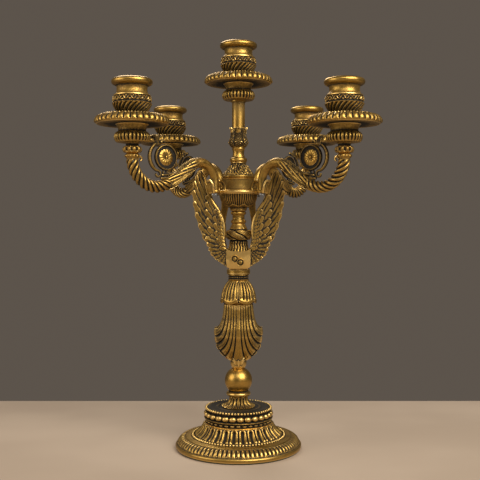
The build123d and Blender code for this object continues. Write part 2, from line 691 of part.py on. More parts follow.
def socket():
    well = PAN_SPIGOT_RADIUS + RUNNING_CLEARANCE
    return turned(
        (ROD_BORE, 0),
        (TUBE_RADIUS + 3, 0),
        (SOCKET_RADIUS - 1.8, 1),
        (SOCKET_RADIUS, 0.52 * GADROON_HEIGHT, SOCKET_RADIUS - 2.4, GADROON_HEIGHT - 0.4),
        (SOCKET_WAIST_RADIUS, GADROON_HEIGHT + 0.4),
        (SOCKET_WAIST_RADIUS + 0.4, 0.74 * SOCKET_HEIGHT, SOCKET_TOP_RADIUS, SOCKET_HEIGHT),
        (well, SOCKET_HEIGHT),
        (well, SOCKET_FLOOR),
        (ROD_BORE, SOCKET_FLOOR),
    )


def drip_pan():
    bore = CUP_SPIGOT_RADIUS + RUNNING_CLEARANCE
    bead_row = PAN_RADIUS - PAN_BORDER_WIDTH
    return turned(
        (bore, -PAN_SPIGOT_LENGTH),
        (PAN_SPIGOT_RADIUS, -PAN_SPIGOT_LENGTH),
        (PAN_SPIGOT_RADIUS, 0),
        (PAN_RADIUS - 1.4, 0),
        (PAN_RADIUS, 1.4),
        (PAN_RADIUS - 1.2, 0.62 * PAN_BORDER_HEIGHT, bead_row + 1.4, PAN_BORDER_HEIGHT),
        (bead_row, PAN_BORDER_HEIGHT - 0.4),
        (bead_row - 0.8, PAN_FLOOR),
        (PAN_SEAT_RADIUS + 0.8, PAN_FLOOR),
        (PAN_SEAT_RADIUS, PAN_FLOOR + PAN_SEAT_RISE),
        (bore, PAN_FLOOR + PAN_SEAT_RISE),
    )


def candle_cup():
    neck = CANDLE_HOLE_RADIUS + CUP_WALL
    hole_floor = CUP_HEIGHT - CANDLE_HOLE_DEPTH
    rim_low = CUP_BOWL_HEIGHT + CUP_NECK_HEIGHT
    rim_middle = 0.45 * rim_low + 0.55 * CUP_HEIGHT
    return turned(
        (0, -CUP_SPIGOT_LENGTH),
        (CUP_SPIGOT_RADIUS, -CUP_SPIGOT_LENGTH),
        (CUP_SPIGOT_RADIUS, 0),
        (CUP_FOOT_RADIUS, 0),
        (CUP_FOOT_RADIUS + 1.4, 1.6),
        (CUP_BOWL_RADIUS - 2.6, 0.42 * CUP_BOWL_HEIGHT, CUP_BOWL_RADIUS, CUP_BOWL_HEIGHT - 3.2),
        (CUP_BOWL_RADIUS - 0.4, CUP_BOWL_HEIGHT - 0.3),
        (neck + 0.4, CUP_BOWL_HEIGHT),
        (neck - 0.2, 0.5 * (CUP_BOWL_HEIGHT + rim_low), neck + 0.6, rim_low),
        (CUP_RIM_RADIUS - 1.8, rim_low + 0.5),
        (CUP_RIM_RADIUS, rim_middle, CUP_RIM_RADIUS - 2.2, CUP_HEIGHT - 0.3),
        (CUP_RIM_RADIUS - 3, CUP_HEIGHT),
        (CANDLE_HOLE_RADIUS, CUP_HEIGHT),
        (CANDLE_HOLE_RADIUS, hole_floor),
        (0, hole_floor),
    )


def light_pieces(place, seat, name):
    """Socket, drip pan and candle cup of one light, stacked on the given seat."""
    pan_seat = seat + SOCKET_HEIGHT
    cup_seat = pan_seat + PAN_FLOOR + PAN_SEAT_RISE
    return {
        f"socket_{name}": place * (Pos(0, 0, seat) * socket()),
        f"drip_pan_{name}": place * (Pos(0, 0, pan_seat) * drip_pan()),
        f"candle_cup_{name}": place * (Pos(0, 0, cup_seat) * candle_cup()),
    }


def all_pieces():
    pieces = {
        "felt_pad": felt_pad(),
        "base_foot": base_foot(),
        "base_plinth": base_plinth(),
        "base_neck": base_neck(),
        "base_washer": base_washer(),
        "base_nut": hex_nut(web_underside - WASHER_THICKNESS - NUT_HEIGHT),
        "ball_knop": ball_knop(),
        "shell_stem": shell_stem(),
        "bell_skirt": bell_skirt(),
        "beaded_collar": beaded_collar(),
        "wing_block": wing_block(),
        "wing_bracket_front": wing_bracket(-1),
        "wing_bracket_back": wing_bracket(1),
        "wing_screws": wing_screws(),
        "leaf_knop_lower": leaf_knop_lower(),
        "ring_neck": ring_neck(),
        "reeded_bowl": reeded_bowl(),
        "hub_plate": hub_plate(),
        "hub_drum": hub_drum(),
        "hub_cap": hub_cap(),
        "upper_baluster": upper_baluster(),
        "leaf_knop_upper": leaf_knop_upper(),
        "center_tube": center_tube(),
        "tie_rod": tie_rod(),
        "rod_nut_top": hex_nut(middle_socket_seat + SOCKET_FLOOR),
        "arm_screws": arm_screws(),
        "socket_screws": socket_screws(),
        "foot_leaves": foot_leaves(),
        "rosettes": rosettes(),
    }
    pieces.update(light_pieces(Pos(0, 0, 0), middle_socket_seat, "center"))
    arm_body = arm()
    scroll_body = scroll(arm_body)
    for name, turn in ARM_TURNS.items():
        place = Rot(0, 0, turn) * Pos(ARM_REACH, 0, 0)
        pieces[f"arm_{name}"] = Rot(0, 0, turn) * arm_body
        pieces[f"scroll_{name}"] = Rot(0, 0, turn) * scroll_body
        pieces[f"bead_collar_{name}"] = place * (Pos(0, 0, arm_end) * bead_collar())
        pieces.update(light_pieces(place, outer_socket_seat, name))
    return pieces


os.makedirs("parts", exist_ok=True)
for node, shape in all_pieces().items():
    export_step(shape, f"parts/{node}.step")
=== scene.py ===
import functools
import json
import math

import bpy
import numpy as np
from mathutils import Matrix, Vector
from mathutils.bvhtree import BVHTree

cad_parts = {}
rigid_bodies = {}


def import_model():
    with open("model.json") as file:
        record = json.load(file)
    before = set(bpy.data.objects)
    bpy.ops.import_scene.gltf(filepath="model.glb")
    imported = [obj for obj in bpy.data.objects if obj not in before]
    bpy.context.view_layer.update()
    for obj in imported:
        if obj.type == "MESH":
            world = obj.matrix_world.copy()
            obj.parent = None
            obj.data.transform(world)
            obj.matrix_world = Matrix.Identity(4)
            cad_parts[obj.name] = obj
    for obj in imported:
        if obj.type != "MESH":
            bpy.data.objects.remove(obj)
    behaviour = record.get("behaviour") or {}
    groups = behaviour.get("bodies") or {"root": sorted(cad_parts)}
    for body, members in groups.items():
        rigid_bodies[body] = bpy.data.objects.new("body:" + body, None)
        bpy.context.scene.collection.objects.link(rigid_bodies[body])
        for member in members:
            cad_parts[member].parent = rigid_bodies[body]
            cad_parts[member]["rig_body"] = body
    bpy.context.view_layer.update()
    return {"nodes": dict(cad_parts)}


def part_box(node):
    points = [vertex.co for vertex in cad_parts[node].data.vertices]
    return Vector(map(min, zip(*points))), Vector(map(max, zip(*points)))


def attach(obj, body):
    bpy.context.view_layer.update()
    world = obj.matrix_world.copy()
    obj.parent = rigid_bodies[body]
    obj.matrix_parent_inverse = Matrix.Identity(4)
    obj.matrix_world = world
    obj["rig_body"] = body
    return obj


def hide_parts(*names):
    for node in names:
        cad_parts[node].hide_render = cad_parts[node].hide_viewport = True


bl_info = {
    "name": "Candelabra looks",
    "version": (1, 0, 0),
    "blender": (4, 5, 0),
    "location": "View3D > Sidebar > Candelabra",
    "description": "Builds the chased and patinated brass of a five-light candelabra on its packed frame",
    "category": "Add Mesh",
}

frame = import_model()

MM = 0.001
LIGHTS = ("center", "front_left", "front_right", "back_left", "back_right")
ARMS = LIGHTS[1:]
BORE = 4.2                      # radius of the rod's hole through the cast pieces, in mm
FRONT = -math.pi / 2            # direction of the front, as an angle about the column
SKY_RAYS = 11                   # directions tried from each point when finding its hollows
GOLDEN_ANGLE = math.pi * (3 - math.sqrt(5))
ARCH_BEND = 18.4                # radius of an arm's bend over the hub, in mm
SWAN_BEND = 26.6                # radius of its sweep up to the socket, in mm
LEG_FOOT = 269.558              # height of the legs' feet that the sheath's leaves were drawn from, in mm
PLATE_FOOT = 187.858            # height of the brackets' foot that the wings were drawn from, in mm
SHADE_ANGLE = math.radians(48)  # edges sharper than this stay crisp
SHADE_AND_PATINA_REACH = 4.5                # how far away metal still shelters a point from polishing and from light, for the patina and painted shade in hollows, in mm

# Where the patina and its painted shade begin and cover (shares of shelter), roughness, and depth of the
# cast skin in mm
GILT = {
    "antique_gilt_brass": (-0.06, 0.22, 0.36, 0.10),
    "rubbed_gilt_brass": (0.06, 0.46, 0.36, 0.03),
    "blackened_gilt_brass": (-0.12, 0.13, 0.36, 0.10),
}

# Name, place in m, side of the square in m, power in W, colour
SOFTBOXES = (
    ("key", (0.62, -0.80, 0.98), 0.90, 21.5, "#FFF3E0"),
    ("fill", (-1.05, -0.45, 0.62), 0.80, 6.5, "#FFF0DC"),
    ("front", (-0.20, -1.20, 1.30), 0.60, 3.4, "#FFF4E4"),
    ("rim", (-0.25, 0.75, 1.05), 0.45, 4.5, "#FFF3E2"),
)
LIT_POINT = (0, 0, 0.22)        # where the softboxes are aimed, in m
ROOM_COLOUR, ROOM_STRENGTH = "#8A7E72", 0.42
FLOOR_SPAN, FLOOR_MIDDLE = (3.2, 2.24), (0, -0.9, -0.0002)
CAMERA_PLACE = (0.0016, -0.840, 0.2338)
CAMERA_DIP = 1.07               # how far the camera looks down, in degrees
SENSOR_WIDTH, LENS_LENGTH = 36, 60


# ---- measuring the frame, in millimetres ----
@functools.lru_cache(maxsize=None)
def corners(node):
    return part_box(node)


def measure(node):
    low, high = corners(node)
    return {
        "x": (low.x + high.x) / 2 / MM,
        "y": (low.y + high.y) / 2 / MM,
        "low": low.z / MM,
        "high": high.z / MM,
        "radius": (high.x - low.x) / 2 / MM,
    }


def arm_turn(name):
    """Angle of an arm about the column, and its reach to the candle's axis."""
    if name == "center":
        return 0.0, 0.0
    cup = measure(f"candle_cup_{name}")
    return math.atan2(cup["y"], cup["x"]), math.hypot(cup["x"], cup["y"])


# ---- shaping helpers ----
def smooth(value, low, high):
    t = np.clip((value - low) / (high - low), 0, 1)
    return t * t * (3 - 2 * t)


def window(value, low, high, soft):
    """1 between low and high, fading to 0 over soft at each end."""
    return smooth(value, low, low + soft) * (1 - smooth(value, high - soft, high))


def lobes(angle, count, sharp=1.0):
    """Convex lobes round a circle: 1 on each crest and 0 in each narrow valley."""
    return np.abs(np.cos(count * angle / 2)) ** sharp


def hump(value, middle, spread):
    return np.exp(-(((value - middle) / spread) ** 2))


def trace(first, *steps, gap=0.6):
    """Points along an outline: (x, y) adds a straight, (mx, my, x, y) an arc through (mx, my)."""
    points = [np.array(first, float)]
    for step in steps:
        here, there = points[-1], np.array(step[-2:], float)
        if len(step) == 2:
            count = max(1, round(np.linalg.norm(there - here) / gap))
            points += [here + (there - here) * i / count for i in range(1, count + 1)]
        else:
            points += arc_points(here, np.array(step[:2], float), there, gap)
    return np.array(points)


def bored(tall, *steps, gap):
    """Outline of a column piece of a height: its foot, its outside and, down its middle, the rod's hole."""
    return trace((BORE, 0), *steps, (BORE, tall), (BORE, 0), gap=gap)


def arc_points(here, middle, there, gap):
    """Points after here on the circle through the three points."""
    (ax, ay), (bx, by), (cx, cy) = here, middle, there
    d = 2 * (ax * (by - cy) + bx * (cy - ay) + cx * (ay - by))
    sa, sb, sc = ax**2 + ay**2, bx**2 + by**2, cx**2 + cy**2
    ox = (sa * (by - cy) + sb * (cy - ay) + sc * (ay - by)) / d
    oy = (sa * (cx - bx) + sb * (ax - cx) + sc * (bx - ax)) / d
    start = math.atan2(ay - oy, ax - ox)
    mid = (math.atan2(by - oy, bx - ox) - start) % math.tau
    end = (math.atan2(cy - oy, cx - ox) - start) % math.tau
    sweep = end if mid < end else end - math.tau
    radius = math.hypot(ax - ox, ay - oy)
    count = max(2, round(abs(sweep) * radius / gap))
    turns = [start + sweep * i / count for i in range(1, count + 1)]
    return [np.array((ox + radius * math.cos(t), oy + radius * math.sin(t))) for t in turns]


def deselect_all():
    if bpy.context.mode != "OBJECT":
        bpy.ops.object.mode_set(mode="OBJECT")
    bpy.ops.object.select_all(action="DESELECT")


def clean(obj):
    """Merge doubles and point every face outwards."""
    deselect_all()
    obj.select_set(True)
    bpy.context.view_layer.objects.active = obj
    bpy.ops.object.mode_set(mode="EDIT")
    bpy.ops.mesh.select_all(action="SELECT")
    bpy.ops.mesh.remove_doubles(threshold=2e-6)
    bpy.ops.mesh.normals_make_consistent(inside=False)
    bpy.ops.object.mode_set(mode="OBJECT")


def new_object(name, points, edges, faces):
    mesh = bpy.data.meshes.new(name)
    mesh.from_pydata([tuple(p) for p in np.asarray(points) * MM], edges, faces)
    obj = bpy.data.objects.new(name, mesh)
    bpy.context.scene.collection.objects.link(obj)
    return obj


def turn(name, outline, steps, relief=None):
    """Spin a closed (radius, height) outline about the Z axis and carve it.

    relief(radius, height, angle) gives how far each point stands out along the surface's normal, in mm."""
    outline = thin_out(outline[:-1], relief)
    count = len(outline)
    points = [(r, 0, z) for r, z in outline]
    obj = new_object(name, points, [(i, (i + 1) % count) for i in range(count)], [])
    rank = obj.data.attributes.new("rank", "FLOAT", "POINT")
    rank.data.foreach_set("value", np.arange(count, dtype=np.float32))
    deselect_all()
    obj.select_set(True)
    bpy.context.view_layer.objects.active = obj
    bpy.ops.object.mode_set(mode="EDIT")
    bpy.ops.mesh.select_all(action="SELECT")
    bpy.ops.mesh.spin(steps=steps, angle=math.tau, center=(0, 0, 0), axis=(0, 0, 1))
    bpy.ops.object.mode_set(mode="OBJECT")
    clean(obj)
    if relief is not None:
        carve(obj, outline, relief)
    obj.data.attributes.remove(obj.data.attributes["rank"])
    return obj


def thin_out(outline, relief):
    """Drop the points inside straight and uncarved stretches of a closed outline, away from their ends."""
    plain = np.ones(len(outline), bool)
    if relief is not None:
        for angle in np.linspace(0, 1.3, 41):
            plain &= np.abs(relief(outline[:, 0], outline[:, 1], np.full(len(outline), angle))) < 1e-3
    before = outline - np.roll(outline, 1, axis=0)
    after = np.roll(outline, -1, axis=0) - outline
    straight = np.abs(before[:, 0] * after[:, 1] - before[:, 1] * after[:, 0]) < 1e-4
    spare = plain & straight
    for way in (-1, 1):
        spare = spare & np.roll(straight, way) & np.roll(plain, way) & np.roll(plain, 2 * way)
    return outline[~spare]


def carve(obj, outline, relief):
    ranks = np.empty(len(obj.data.vertices), np.float32)
    obj.data.attributes["rank"].data.foreach_get("value", ranks)
    ranks = np.round(ranks).astype(int) % len(outline)
    ahead, behind = np.roll(outline, -1, axis=0), np.roll(outline, 1, axis=0)
    along = ahead - behind
    normals = np.stack([along[:, 1], -along[:, 0]], axis=1)
    normals /= np.maximum(np.linalg.norm(normals, axis=1, keepdims=True), 1e-9)
    area = np.sum(outline[:, 0] * ahead[:, 1] - ahead[:, 0] * outline[:, 1])
    normals *= 1 if area > 0 else -1
    co = read_points(obj)
    angle = np.arctan2(co[:, 1], co[:, 0])
    radius, height = outline[ranks, 0], outline[ranks, 1]
    depth = relief(radius, height, angle)
    new_radius = radius + normals[ranks, 0] * depth
    new_height = height + normals[ranks, 1] * depth
    co = np.stack([new_radius * np.cos(angle), new_radius * np.sin(angle), new_height], axis=1)
    write_points(obj, co)


def read_points(obj):
    co = np.empty(len(obj.data.vertices) * 3, np.float32)
    obj.data.vertices.foreach_get("co", co)
    return co.reshape(-1, 3).astype(float) / MM


def write_points(obj, co):
    obj.data.vertices.foreach_set("co", (co * MM).astype(np.float32).ravel())
    obj.data.update()


class Casting:
    """Gathers the swept parts of one cast piece, in mm."""

    def __init__(self):
        self.points, self.faces = [], []

    def ribbon(self, path, across, height, facing):
        """A closed skin along a path: each row of across and height is the section at that path point."""
        path = np.asarray(path, float)
        run = np.gradient(path, axis=0)
        run /= np.maximum(np.linalg.norm(run, axis=1, keepdims=True), 1e-9)
        facing = np.broadcast_to(np.asarray(facing, float), path.shape)
        side = np.cross(run, facing)
        side /= np.maximum(np.linalg.norm(side, axis=1, keepdims=True), 1e-9)
        up = np.cross(side, run)
        rows, ring = across.shape
        skin = path[:, None] + across[..., None] * side[:, None] + height[..., None] * up[:, None]
        base = len(self.points)
        self.points += list(skin.reshape(-1, 3))
        for i in range(rows - 1):
            for j in range(ring):
                k = (j + 1) % ring
                low, high = base + i * ring, base + (i + 1) * ring
                self.faces.append((low + j, low + k, high + k, high + j))
        for row, way in ((0, -1), (rows - 1, 1)):
            self.points.append(skin[row].mean(axis=0))
            hub = len(self.points) - 1
            first = base + row * ring
            for j in range(ring):
                pair = (first + j, first + (j + 1) % ring)
                self.faces.append((hub, *pair[::way]))

    def tube(self, path, radius, facing, sides=12, flat=1.0, round_ends=(True, True)):
        path = np.asarray(path, float)
        radius = np.broadcast_to(np.asarray(radius, float), (len(path),)).copy()
        reach = np.concatenate([[0], np.cumsum(np.linalg.norm(np.diff(path, axis=0), axis=1))])
        for is_round, gap in zip(round_ends, (reach, reach[-1] - reach)):
            if is_round:
                near = np.clip(1 - gap / np.maximum(radius, 1e-6), 0, 1)
                radius = radius * np.sqrt(np.maximum(1 - near**2, 0.01))
        turns = np.linspace(0, math.tau, sides, endpoint=False)
        self.ribbon(path, radius[:, None] * np.cos(turns), flat * radius[:, None] * np.sin(turns), facing)

    def blade(self, path, half_width, crown, facing, thickness=1.0, cells=8, groove=0.25, barbs=0.0, ribs=0):
        """A leaf or feather: crowned across, with a groove or ribs along it and slanting barbs."""
        path = np.asarray(path, float)
        rows = len(path)
        u = np.linspace(0, 1, rows)[:, None]
        v = np.linspace(-1, 1, cells + 1)[None, :]
        half_width = np.asarray(half_width, float)[:, None]
        front = crown * (1 - v**2) + 0 * u
        if ribs:
            front = front + groove * (np.abs(np.cos(ribs * math.pi * v / 2)) - 0.5)
        else:
            front = front + groove * (hump(v, 0, 0.16) - 0.3)
        if barbs:
            reach = np.linalg.norm(path[-1] - path[0])
            slant = u * reach / 1.5 + np.abs(v) * half_width / 1.2
            front = front + barbs * np.sin(slant * math.pi) * smooth(np.abs(v), 0.12, 0.3)
        across = half_width * v
        back = np.broadcast_to(-thickness + 0 * v, (rows, cells + 1))
        across = np.concatenate([across, across[:, ::-1] * 0.94], axis=1)
        height = np.concatenate([front, back[:, ::-1]], axis=1)
        self.ribbon(path, across, height, facing)

    def ball(self, middle, radii, rings=6, sides=10):
        turns = np.linspace(0, math.tau, sides, endpoint=False)
        lifts = np.linspace(-math.pi / 2, math.pi / 2, rings + 1)[1:-1]
        middle, radii = np.asarray(middle, float), np.broadcast_to(radii, (3,))
        base = len(self.points)
        for lift in lifts:
            ring = np.stack([np.cos(turns), np.sin(turns), 0 * turns], axis=1) * math.cos(lift)
            ring[:, 2] = math.sin(lift)
            self.points += list(middle + ring * radii)
        self.points += [middle - (0, 0, radii[2]), middle + (0, 0, radii[2])]
        south, north = len(self.points) - 2, len(self.points) - 1
        last = base + (len(lifts) - 1) * sides
        for j in range(sides):
            k = (j + 1) % sides
            self.faces.append((south, base + k, base + j))
            self.faces.append((north, last + j, last + k))
            for i in range(len(lifts) - 1):
                row = base + i * sides
                self.faces.append((row + j, row + k, row + sides + k, row + sides + j))

    def bead_row(self, radius, height, count, bead, squash=1.0, rings=4, sides=8):
        """Beads round the Z axis; bead is the radius across the row and squash its share along it."""
        for i in range(count):
            start = len(self.points)
            self.ball((0, 0, 0), (bead, squash * bead, bead), rings, sides)
            spot = math.tau * (i + 0.5) / count
            c, s = math.cos(spot), math.sin(spot)
            for n in range(start, len(self.points)):
                x, y, z = self.points[n]
                x += radius
                self.points[n] = np.array((x * c - y * s, x * s + y * c, z + height))

    def object(self, name):
        obj = new_object(name, self.points, [], self.faces)
        clean(obj)
        return obj


def bezier(points, count):
    """Points on a Bezier curve with any number of control points."""
    t = np.linspace(0, 1, count)[:, None]
    rows = [np.broadcast_to(np.asarray(p, float), (count, len(points[0]))) for p in points]
    while len(rows) > 1:
        rows = [a * (1 - t) + b * t for a, b in zip(rows, rows[1:])]
    return rows[0]


def chain(points, count):
    """A smooth curve through all the points, evenly sampled."""
    points = np.asarray(points, float)
    spans = np.linalg.norm(np.diff(points, axis=0), axis=1)
    at = np.concatenate([[0], np.cumsum(spans)])
    slope = np.gradient(points, at, axis=0)
    t = np.linspace(0, at[-1], count)
    i = np.clip(np.searchsorted(at, t, side="right") - 1, 0, len(points) - 2)
    h = (at[i + 1] - at[i])[:, None]
    s = ((t - at[i])[:, None]) / h
    a, b = (1 + 2 * s) * (1 - s) ** 2, s * (1 - s) ** 2
    c, d = s**2 * (3 - 2 * s), s**2 * (s - 1)
    return a * points[i] + b * h * slope[i] + c * points[i + 1] + d * h * slope[i + 1]


def join(objects, name):
    deselect_all()
    for obj in objects:
        obj.select_set(True)
    bpy.context.view_layer.objects.active = objects[0]
    bpy.ops.object.join()
    joined = bpy.context.view_layer.objects.active
    joined.name = name
    return joined


def moved_copy(obj, name, x=0.0, y=0.0, z=0.0, angle=0.0):
    """A copy with its own mesh, turned about the column and then moved, in mm."""
    copy = bpy.data.objects.new(name, obj.data.copy())
    bpy.context.scene.collection.objects.link(copy)
    copy.data.transform(Matrix.Translation((x * MM, y * MM, z * MM)) @ Matrix.Rotation(angle, 4, "Z"))
    return copy


def discard(obj):
    bpy.data.objects.remove(obj)


def store_values(mesh, name, values):
    layer = mesh.attributes.get(name) or mesh.attributes.new(name, "FLOAT", "POINT")
    layer.data.foreach_set("value", np.asarray(values, np.float32))


def record_shade_and_wear(obj, reach, passes, added_darkening=None):
    """Store how shut in each point is (hollow, 0 to 1) and how far it stands out (ridge, in mm).

    The hollow share darkens the colour: old patina stays where a polishing cloth can't reach, with painted
    shade where the piece's own metal blocks the light. Ridges are rubbed bright. The last argument, a
    function of points and normals, adds more darkening to the hollow share."""
    mesh = obj.data
    count = len(mesh.vertices)
    normals = np.empty(count * 3, np.float32)
    mesh.vertex_normals.foreach_get("vector", normals)
    normals = normals.reshape(-1, 3).astype(float)
    # share of sky that the piece blocks: painted as shade and patina in its hollows
    hollow = shut_in(obj, read_points(obj), normals, reach)
    if added_darkening is not None:
        hollow = hollow + added_darkening(read_points(obj), normals)
    ends = np.empty(len(mesh.edges) * 2, np.int32)
    mesh.edges.foreach_get("vertices", ends)
    a, b = ends[0::2], ends[1::2]
    share = np.maximum(np.bincount(a, minlength=count) + np.bincount(b, minlength=count), 1)

    def spread(values, weight):
        around = (np.bincount(a, values[b], count) + np.bincount(b, values[a], count)) / share
        return (1 - weight) * values + weight * around

    co = read_points(obj)
    soft = co.copy()
    for _ in range(passes):
        soft = np.stack([spread(soft[:, k], 0.6) for k in range(3)], axis=1)
    ridge = spread(np.sum((co - soft) * normals, axis=1), 0.4)
    ridge = np.clip(ridge - np.median(ridge), -0.6, 0.6)
    store_values(mesh, "hollow", spread(hollow, 0.4))
    store_values(mesh, "ridge", ridge)


def shut_in(obj, points, normals, reach):
    """Share of the sky above each point that the piece itself blocks within reach mm."""
    tree = BVHTree.FromPolygons(points.tolist(), [p.vertices[:] for p in obj.data.polygons])
    helper = np.where(np.abs(normals[:, 2:]) < 0.9, (0.0, 0.0, 1.0), (1.0, 0.0, 0.0))
    right = np.cross(normals, helper)
    right /= np.maximum(np.linalg.norm(right, axis=1, keepdims=True), 1e-9)
    ahead = np.cross(normals, right)
    starts = points + 0.06 * normals
    total = np.zeros(len(points))
    for i in range(SKY_RAYS):
        lift = 1 - (i + 0.5) / SKY_RAYS
        flat, around = math.sqrt(1 - lift), i * GOLDEN_ANGLE
        way = math.sqrt(lift) * normals
        way = way + flat * (math.cos(around) * right + math.sin(around) * ahead)
        cast = tree.ray_cast
        gaps = [cast(o, d, reach)[3] for o, d in zip(starts.tolist(), way.tolist())]
        total += np.array([0.0 if gap is None else 1 - gap / reach for gap in gaps])
    return total / SKY_RAYS


def finish_piece(obj, node, material, passes=6):
    """Smooth, age, colour and hang one finished piece on its CAD node's body; ageing stores the patina and
    painted shade of its hollows and its rubbed ridges.
    """
    deselect_all()
    obj.select_set(True)
    bpy.context.view_layer.objects.active = obj
    bpy.ops.object.shade_smooth_by_angle(angle=SHADE_ANGLE)
    if "hollow" not in obj.data.attributes:
        record_shade_and_wear(obj, SHADE_AND_PATINA_REACH, passes)
    obj.data.materials.clear()
    obj.data.materials.append(material)
    obj.name = f"cast_{node}"
    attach(obj, frame["nodes"][node]["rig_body"])
    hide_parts(node)
    return obj


# ---- materials ----
def linear(hex_colour):
    """An sRGB hex colour as linear RGBA."""
    parts = [int(hex_colour[i : i + 2], 16) / 255 for i in (1, 3, 5)]
    return (*[c / 12.92 if c <= 0.04045 else ((c + 0.055) / 1.055) ** 2.4 for c in parts], 1.0)


def add_node(tree, kind, settings=None, links=None):
    """One shader node: settings go on its sockets or properties, links are (socket, output) pairs."""
    node = tree.nodes.new(kind)
    for key, value in (settings or {}).items():
        if isinstance(key, int) or key in node.inputs:
            node.inputs[key].default_value = value
        else:
            setattr(node, key, value)
    for socket, output in (links or {}).items():
        tree.links.new(output, node.inputs[socket])
    return node


def ramp(tree, output, stops, interpolation="EASE"):
    """A ColorRamp node fed by output, with (place, colour) stops."""
    node = add_node(tree, "ShaderNodeValToRGB", links={"Fac": output})
    node.color_ramp.interpolation = interpolation
    node.color_ramp.elements[0].position, node.color_ramp.elements[0].color = stops[0]
    node.color_ramp.elements[1].position, node.color_ramp.elements[1].color = stops[-1]
    for place, colour in stops[1:-1]:
        node.color_ramp.elements.new(place).color = colour
    return node.outputs["Color"]


def new_material(name):
    material = bpy.data.materials.new(name)
    material.use_nodes = True
    tree = material.node_tree
    tree.nodes.clear()
    surface = add_node(tree, "ShaderNodeBsdfPrincipled")
    out = add_node(tree, "ShaderNodeOutputMaterial")
    tree.links.new(surface.outputs["BSDF"], out.inputs["Surface"])
    return material, tree, surface


def gilt_brass(name, colours, hollow_start, hollow_full, gloss, grain):
    """Sand-cast brass, gilded, aged and rubbed: bright worn ridges, warm gold walls and a matt brown-black
    patina with painted shade where the surface is shut in. hollow_start and hollow_full are the shares at
    which it begins and covers, and grain is the depth of the cast skin in mm."""
    material, tree, surface = new_material(name)
    place = add_node(tree, "ShaderNodeTexCoord").outputs["Object"]
    hollow = add_node(tree, "ShaderNodeAttribute", {"attribute_name": "hollow"}).outputs["Fac"]
    ridge = add_node(tree, "ShaderNodeAttribute", {"attribute_name": "ridge"}).outputs["Fac"]
    # clouds of 15 mm, specks of 1.6 mm and a skin of 0.7 mm grains
    blotch = add_node(tree, "ShaderNodeTexNoise", {"Scale": 70.0, "Detail": 4.0, "Roughness": 0.6},
                      {"Vector": place})
    speck = add_node(tree, "ShaderNodeTexNoise", {"Scale": 620.0, "Detail": 3.0, "Roughness": 0.7},
                     {"Vector": place})
    grit = add_node(tree, "ShaderNodeTexNoise", {"Scale": 1500.0, "Detail": 2.0, "Roughness": 0.6},
                    {"Vector": place})
    wander = math_node(tree, "MULTIPLY_ADD", blotch.outputs["Fac"], 0.26, -0.13)
    fine = math_node(tree, "MULTIPLY_ADD", speck.outputs["Fac"], 0.26, -0.13)
    uneven = math_node(tree, "ADD", wander, fine)
    depth = math_node(tree, "ADD", hollow, uneven)
    shallow = math_node(tree, "MULTIPLY_ADD", ridge, -0.4, depth)
    # patina and painted shade: the colour goes dark brown-black and matt where the surface is shut in
    patina_and_shade_share = map_node(tree, shallow, hollow_start, hollow_full, 0.0, 1.0)
    high = math_node(tree, "MULTIPLY_ADD", uneven, -0.3, ridge)
    worn = map_node(tree, high, 0.05, 0.36, 0.0, 1.0)
    gold = ramp(
        tree,
        blotch.outputs["Fac"],
        [(0.3, linear(colours.shade_colour)), (0.52, linear(colours.gold_colour)),
         (0.75, linear(colours.warm_colour))],
    )
    rubbed = mix_node(tree, worn, gold, linear(colours.ridge_colour))
    tone = mix_node(tree, patina_and_shade_share, rubbed, linear(colours.patina_and_shade_colour))
    tree.links.new(tone, surface.inputs["Base Color"])
    tree.links.new(map_node(tree, patina_and_shade_share, 0.0, 1.0, 1.0, 0.3), surface.inputs["Metallic"])
    matt = map_node(tree, patina_and_shade_share, 0.0, 1.0, gloss, 0.75)
    tree.links.new(math_node(tree, "MULTIPLY_ADD", fine, 0.7, matt), surface.inputs["Roughness"])
    skin = math_node(tree, "MULTIPLY_ADD", speck.outputs["Fac"], 0.5, grit.outputs["Fac"])
    bump = add_node(tree, "ShaderNodeBump", {"Strength": 0.35, "Distance": grain * MM}, {"Height": skin})
    tree.links.new(bump.outputs["Normal"], surface.inputs["Normal"])
    return material


def math_node(tree, operation, first, second, third=None):
    """Output of a Math node; each operand is a number or another node's output."""
    node = add_node(tree, "ShaderNodeMath", {"operation": operation})
    for socket, value in zip(node.inputs, (first, second, third)):
        if isinstance(value, bpy.types.NodeSocket):
            tree.links.new(value, socket)
        elif value is not None:
            socket.default_value = value
    return node.outputs[0]


def map_node(tree, value, low, high, to_low, to_high):
    """Output of a smooth Map Range node."""
    ends = {"interpolation_type": "SMOOTHSTEP", "From Min": low, "From Max": high, "To Min": to_low,
            "To Max": to_high}
    return add_node(tree, "ShaderNodeMapRange", ends, {"Value": value}).outputs["Result"]


def mix_node(tree, share, first, second):
    """Colour output that goes from first to the constant colour second as share rises."""
    node = add_node(tree, "ShaderNodeMix", {"data_type": "RGBA"})
    tree.links.new(share, node.inputs[0])
    tree.links.new(first, node.inputs[6])
    node.inputs[7].default_value = second
    return node.outputs[2]


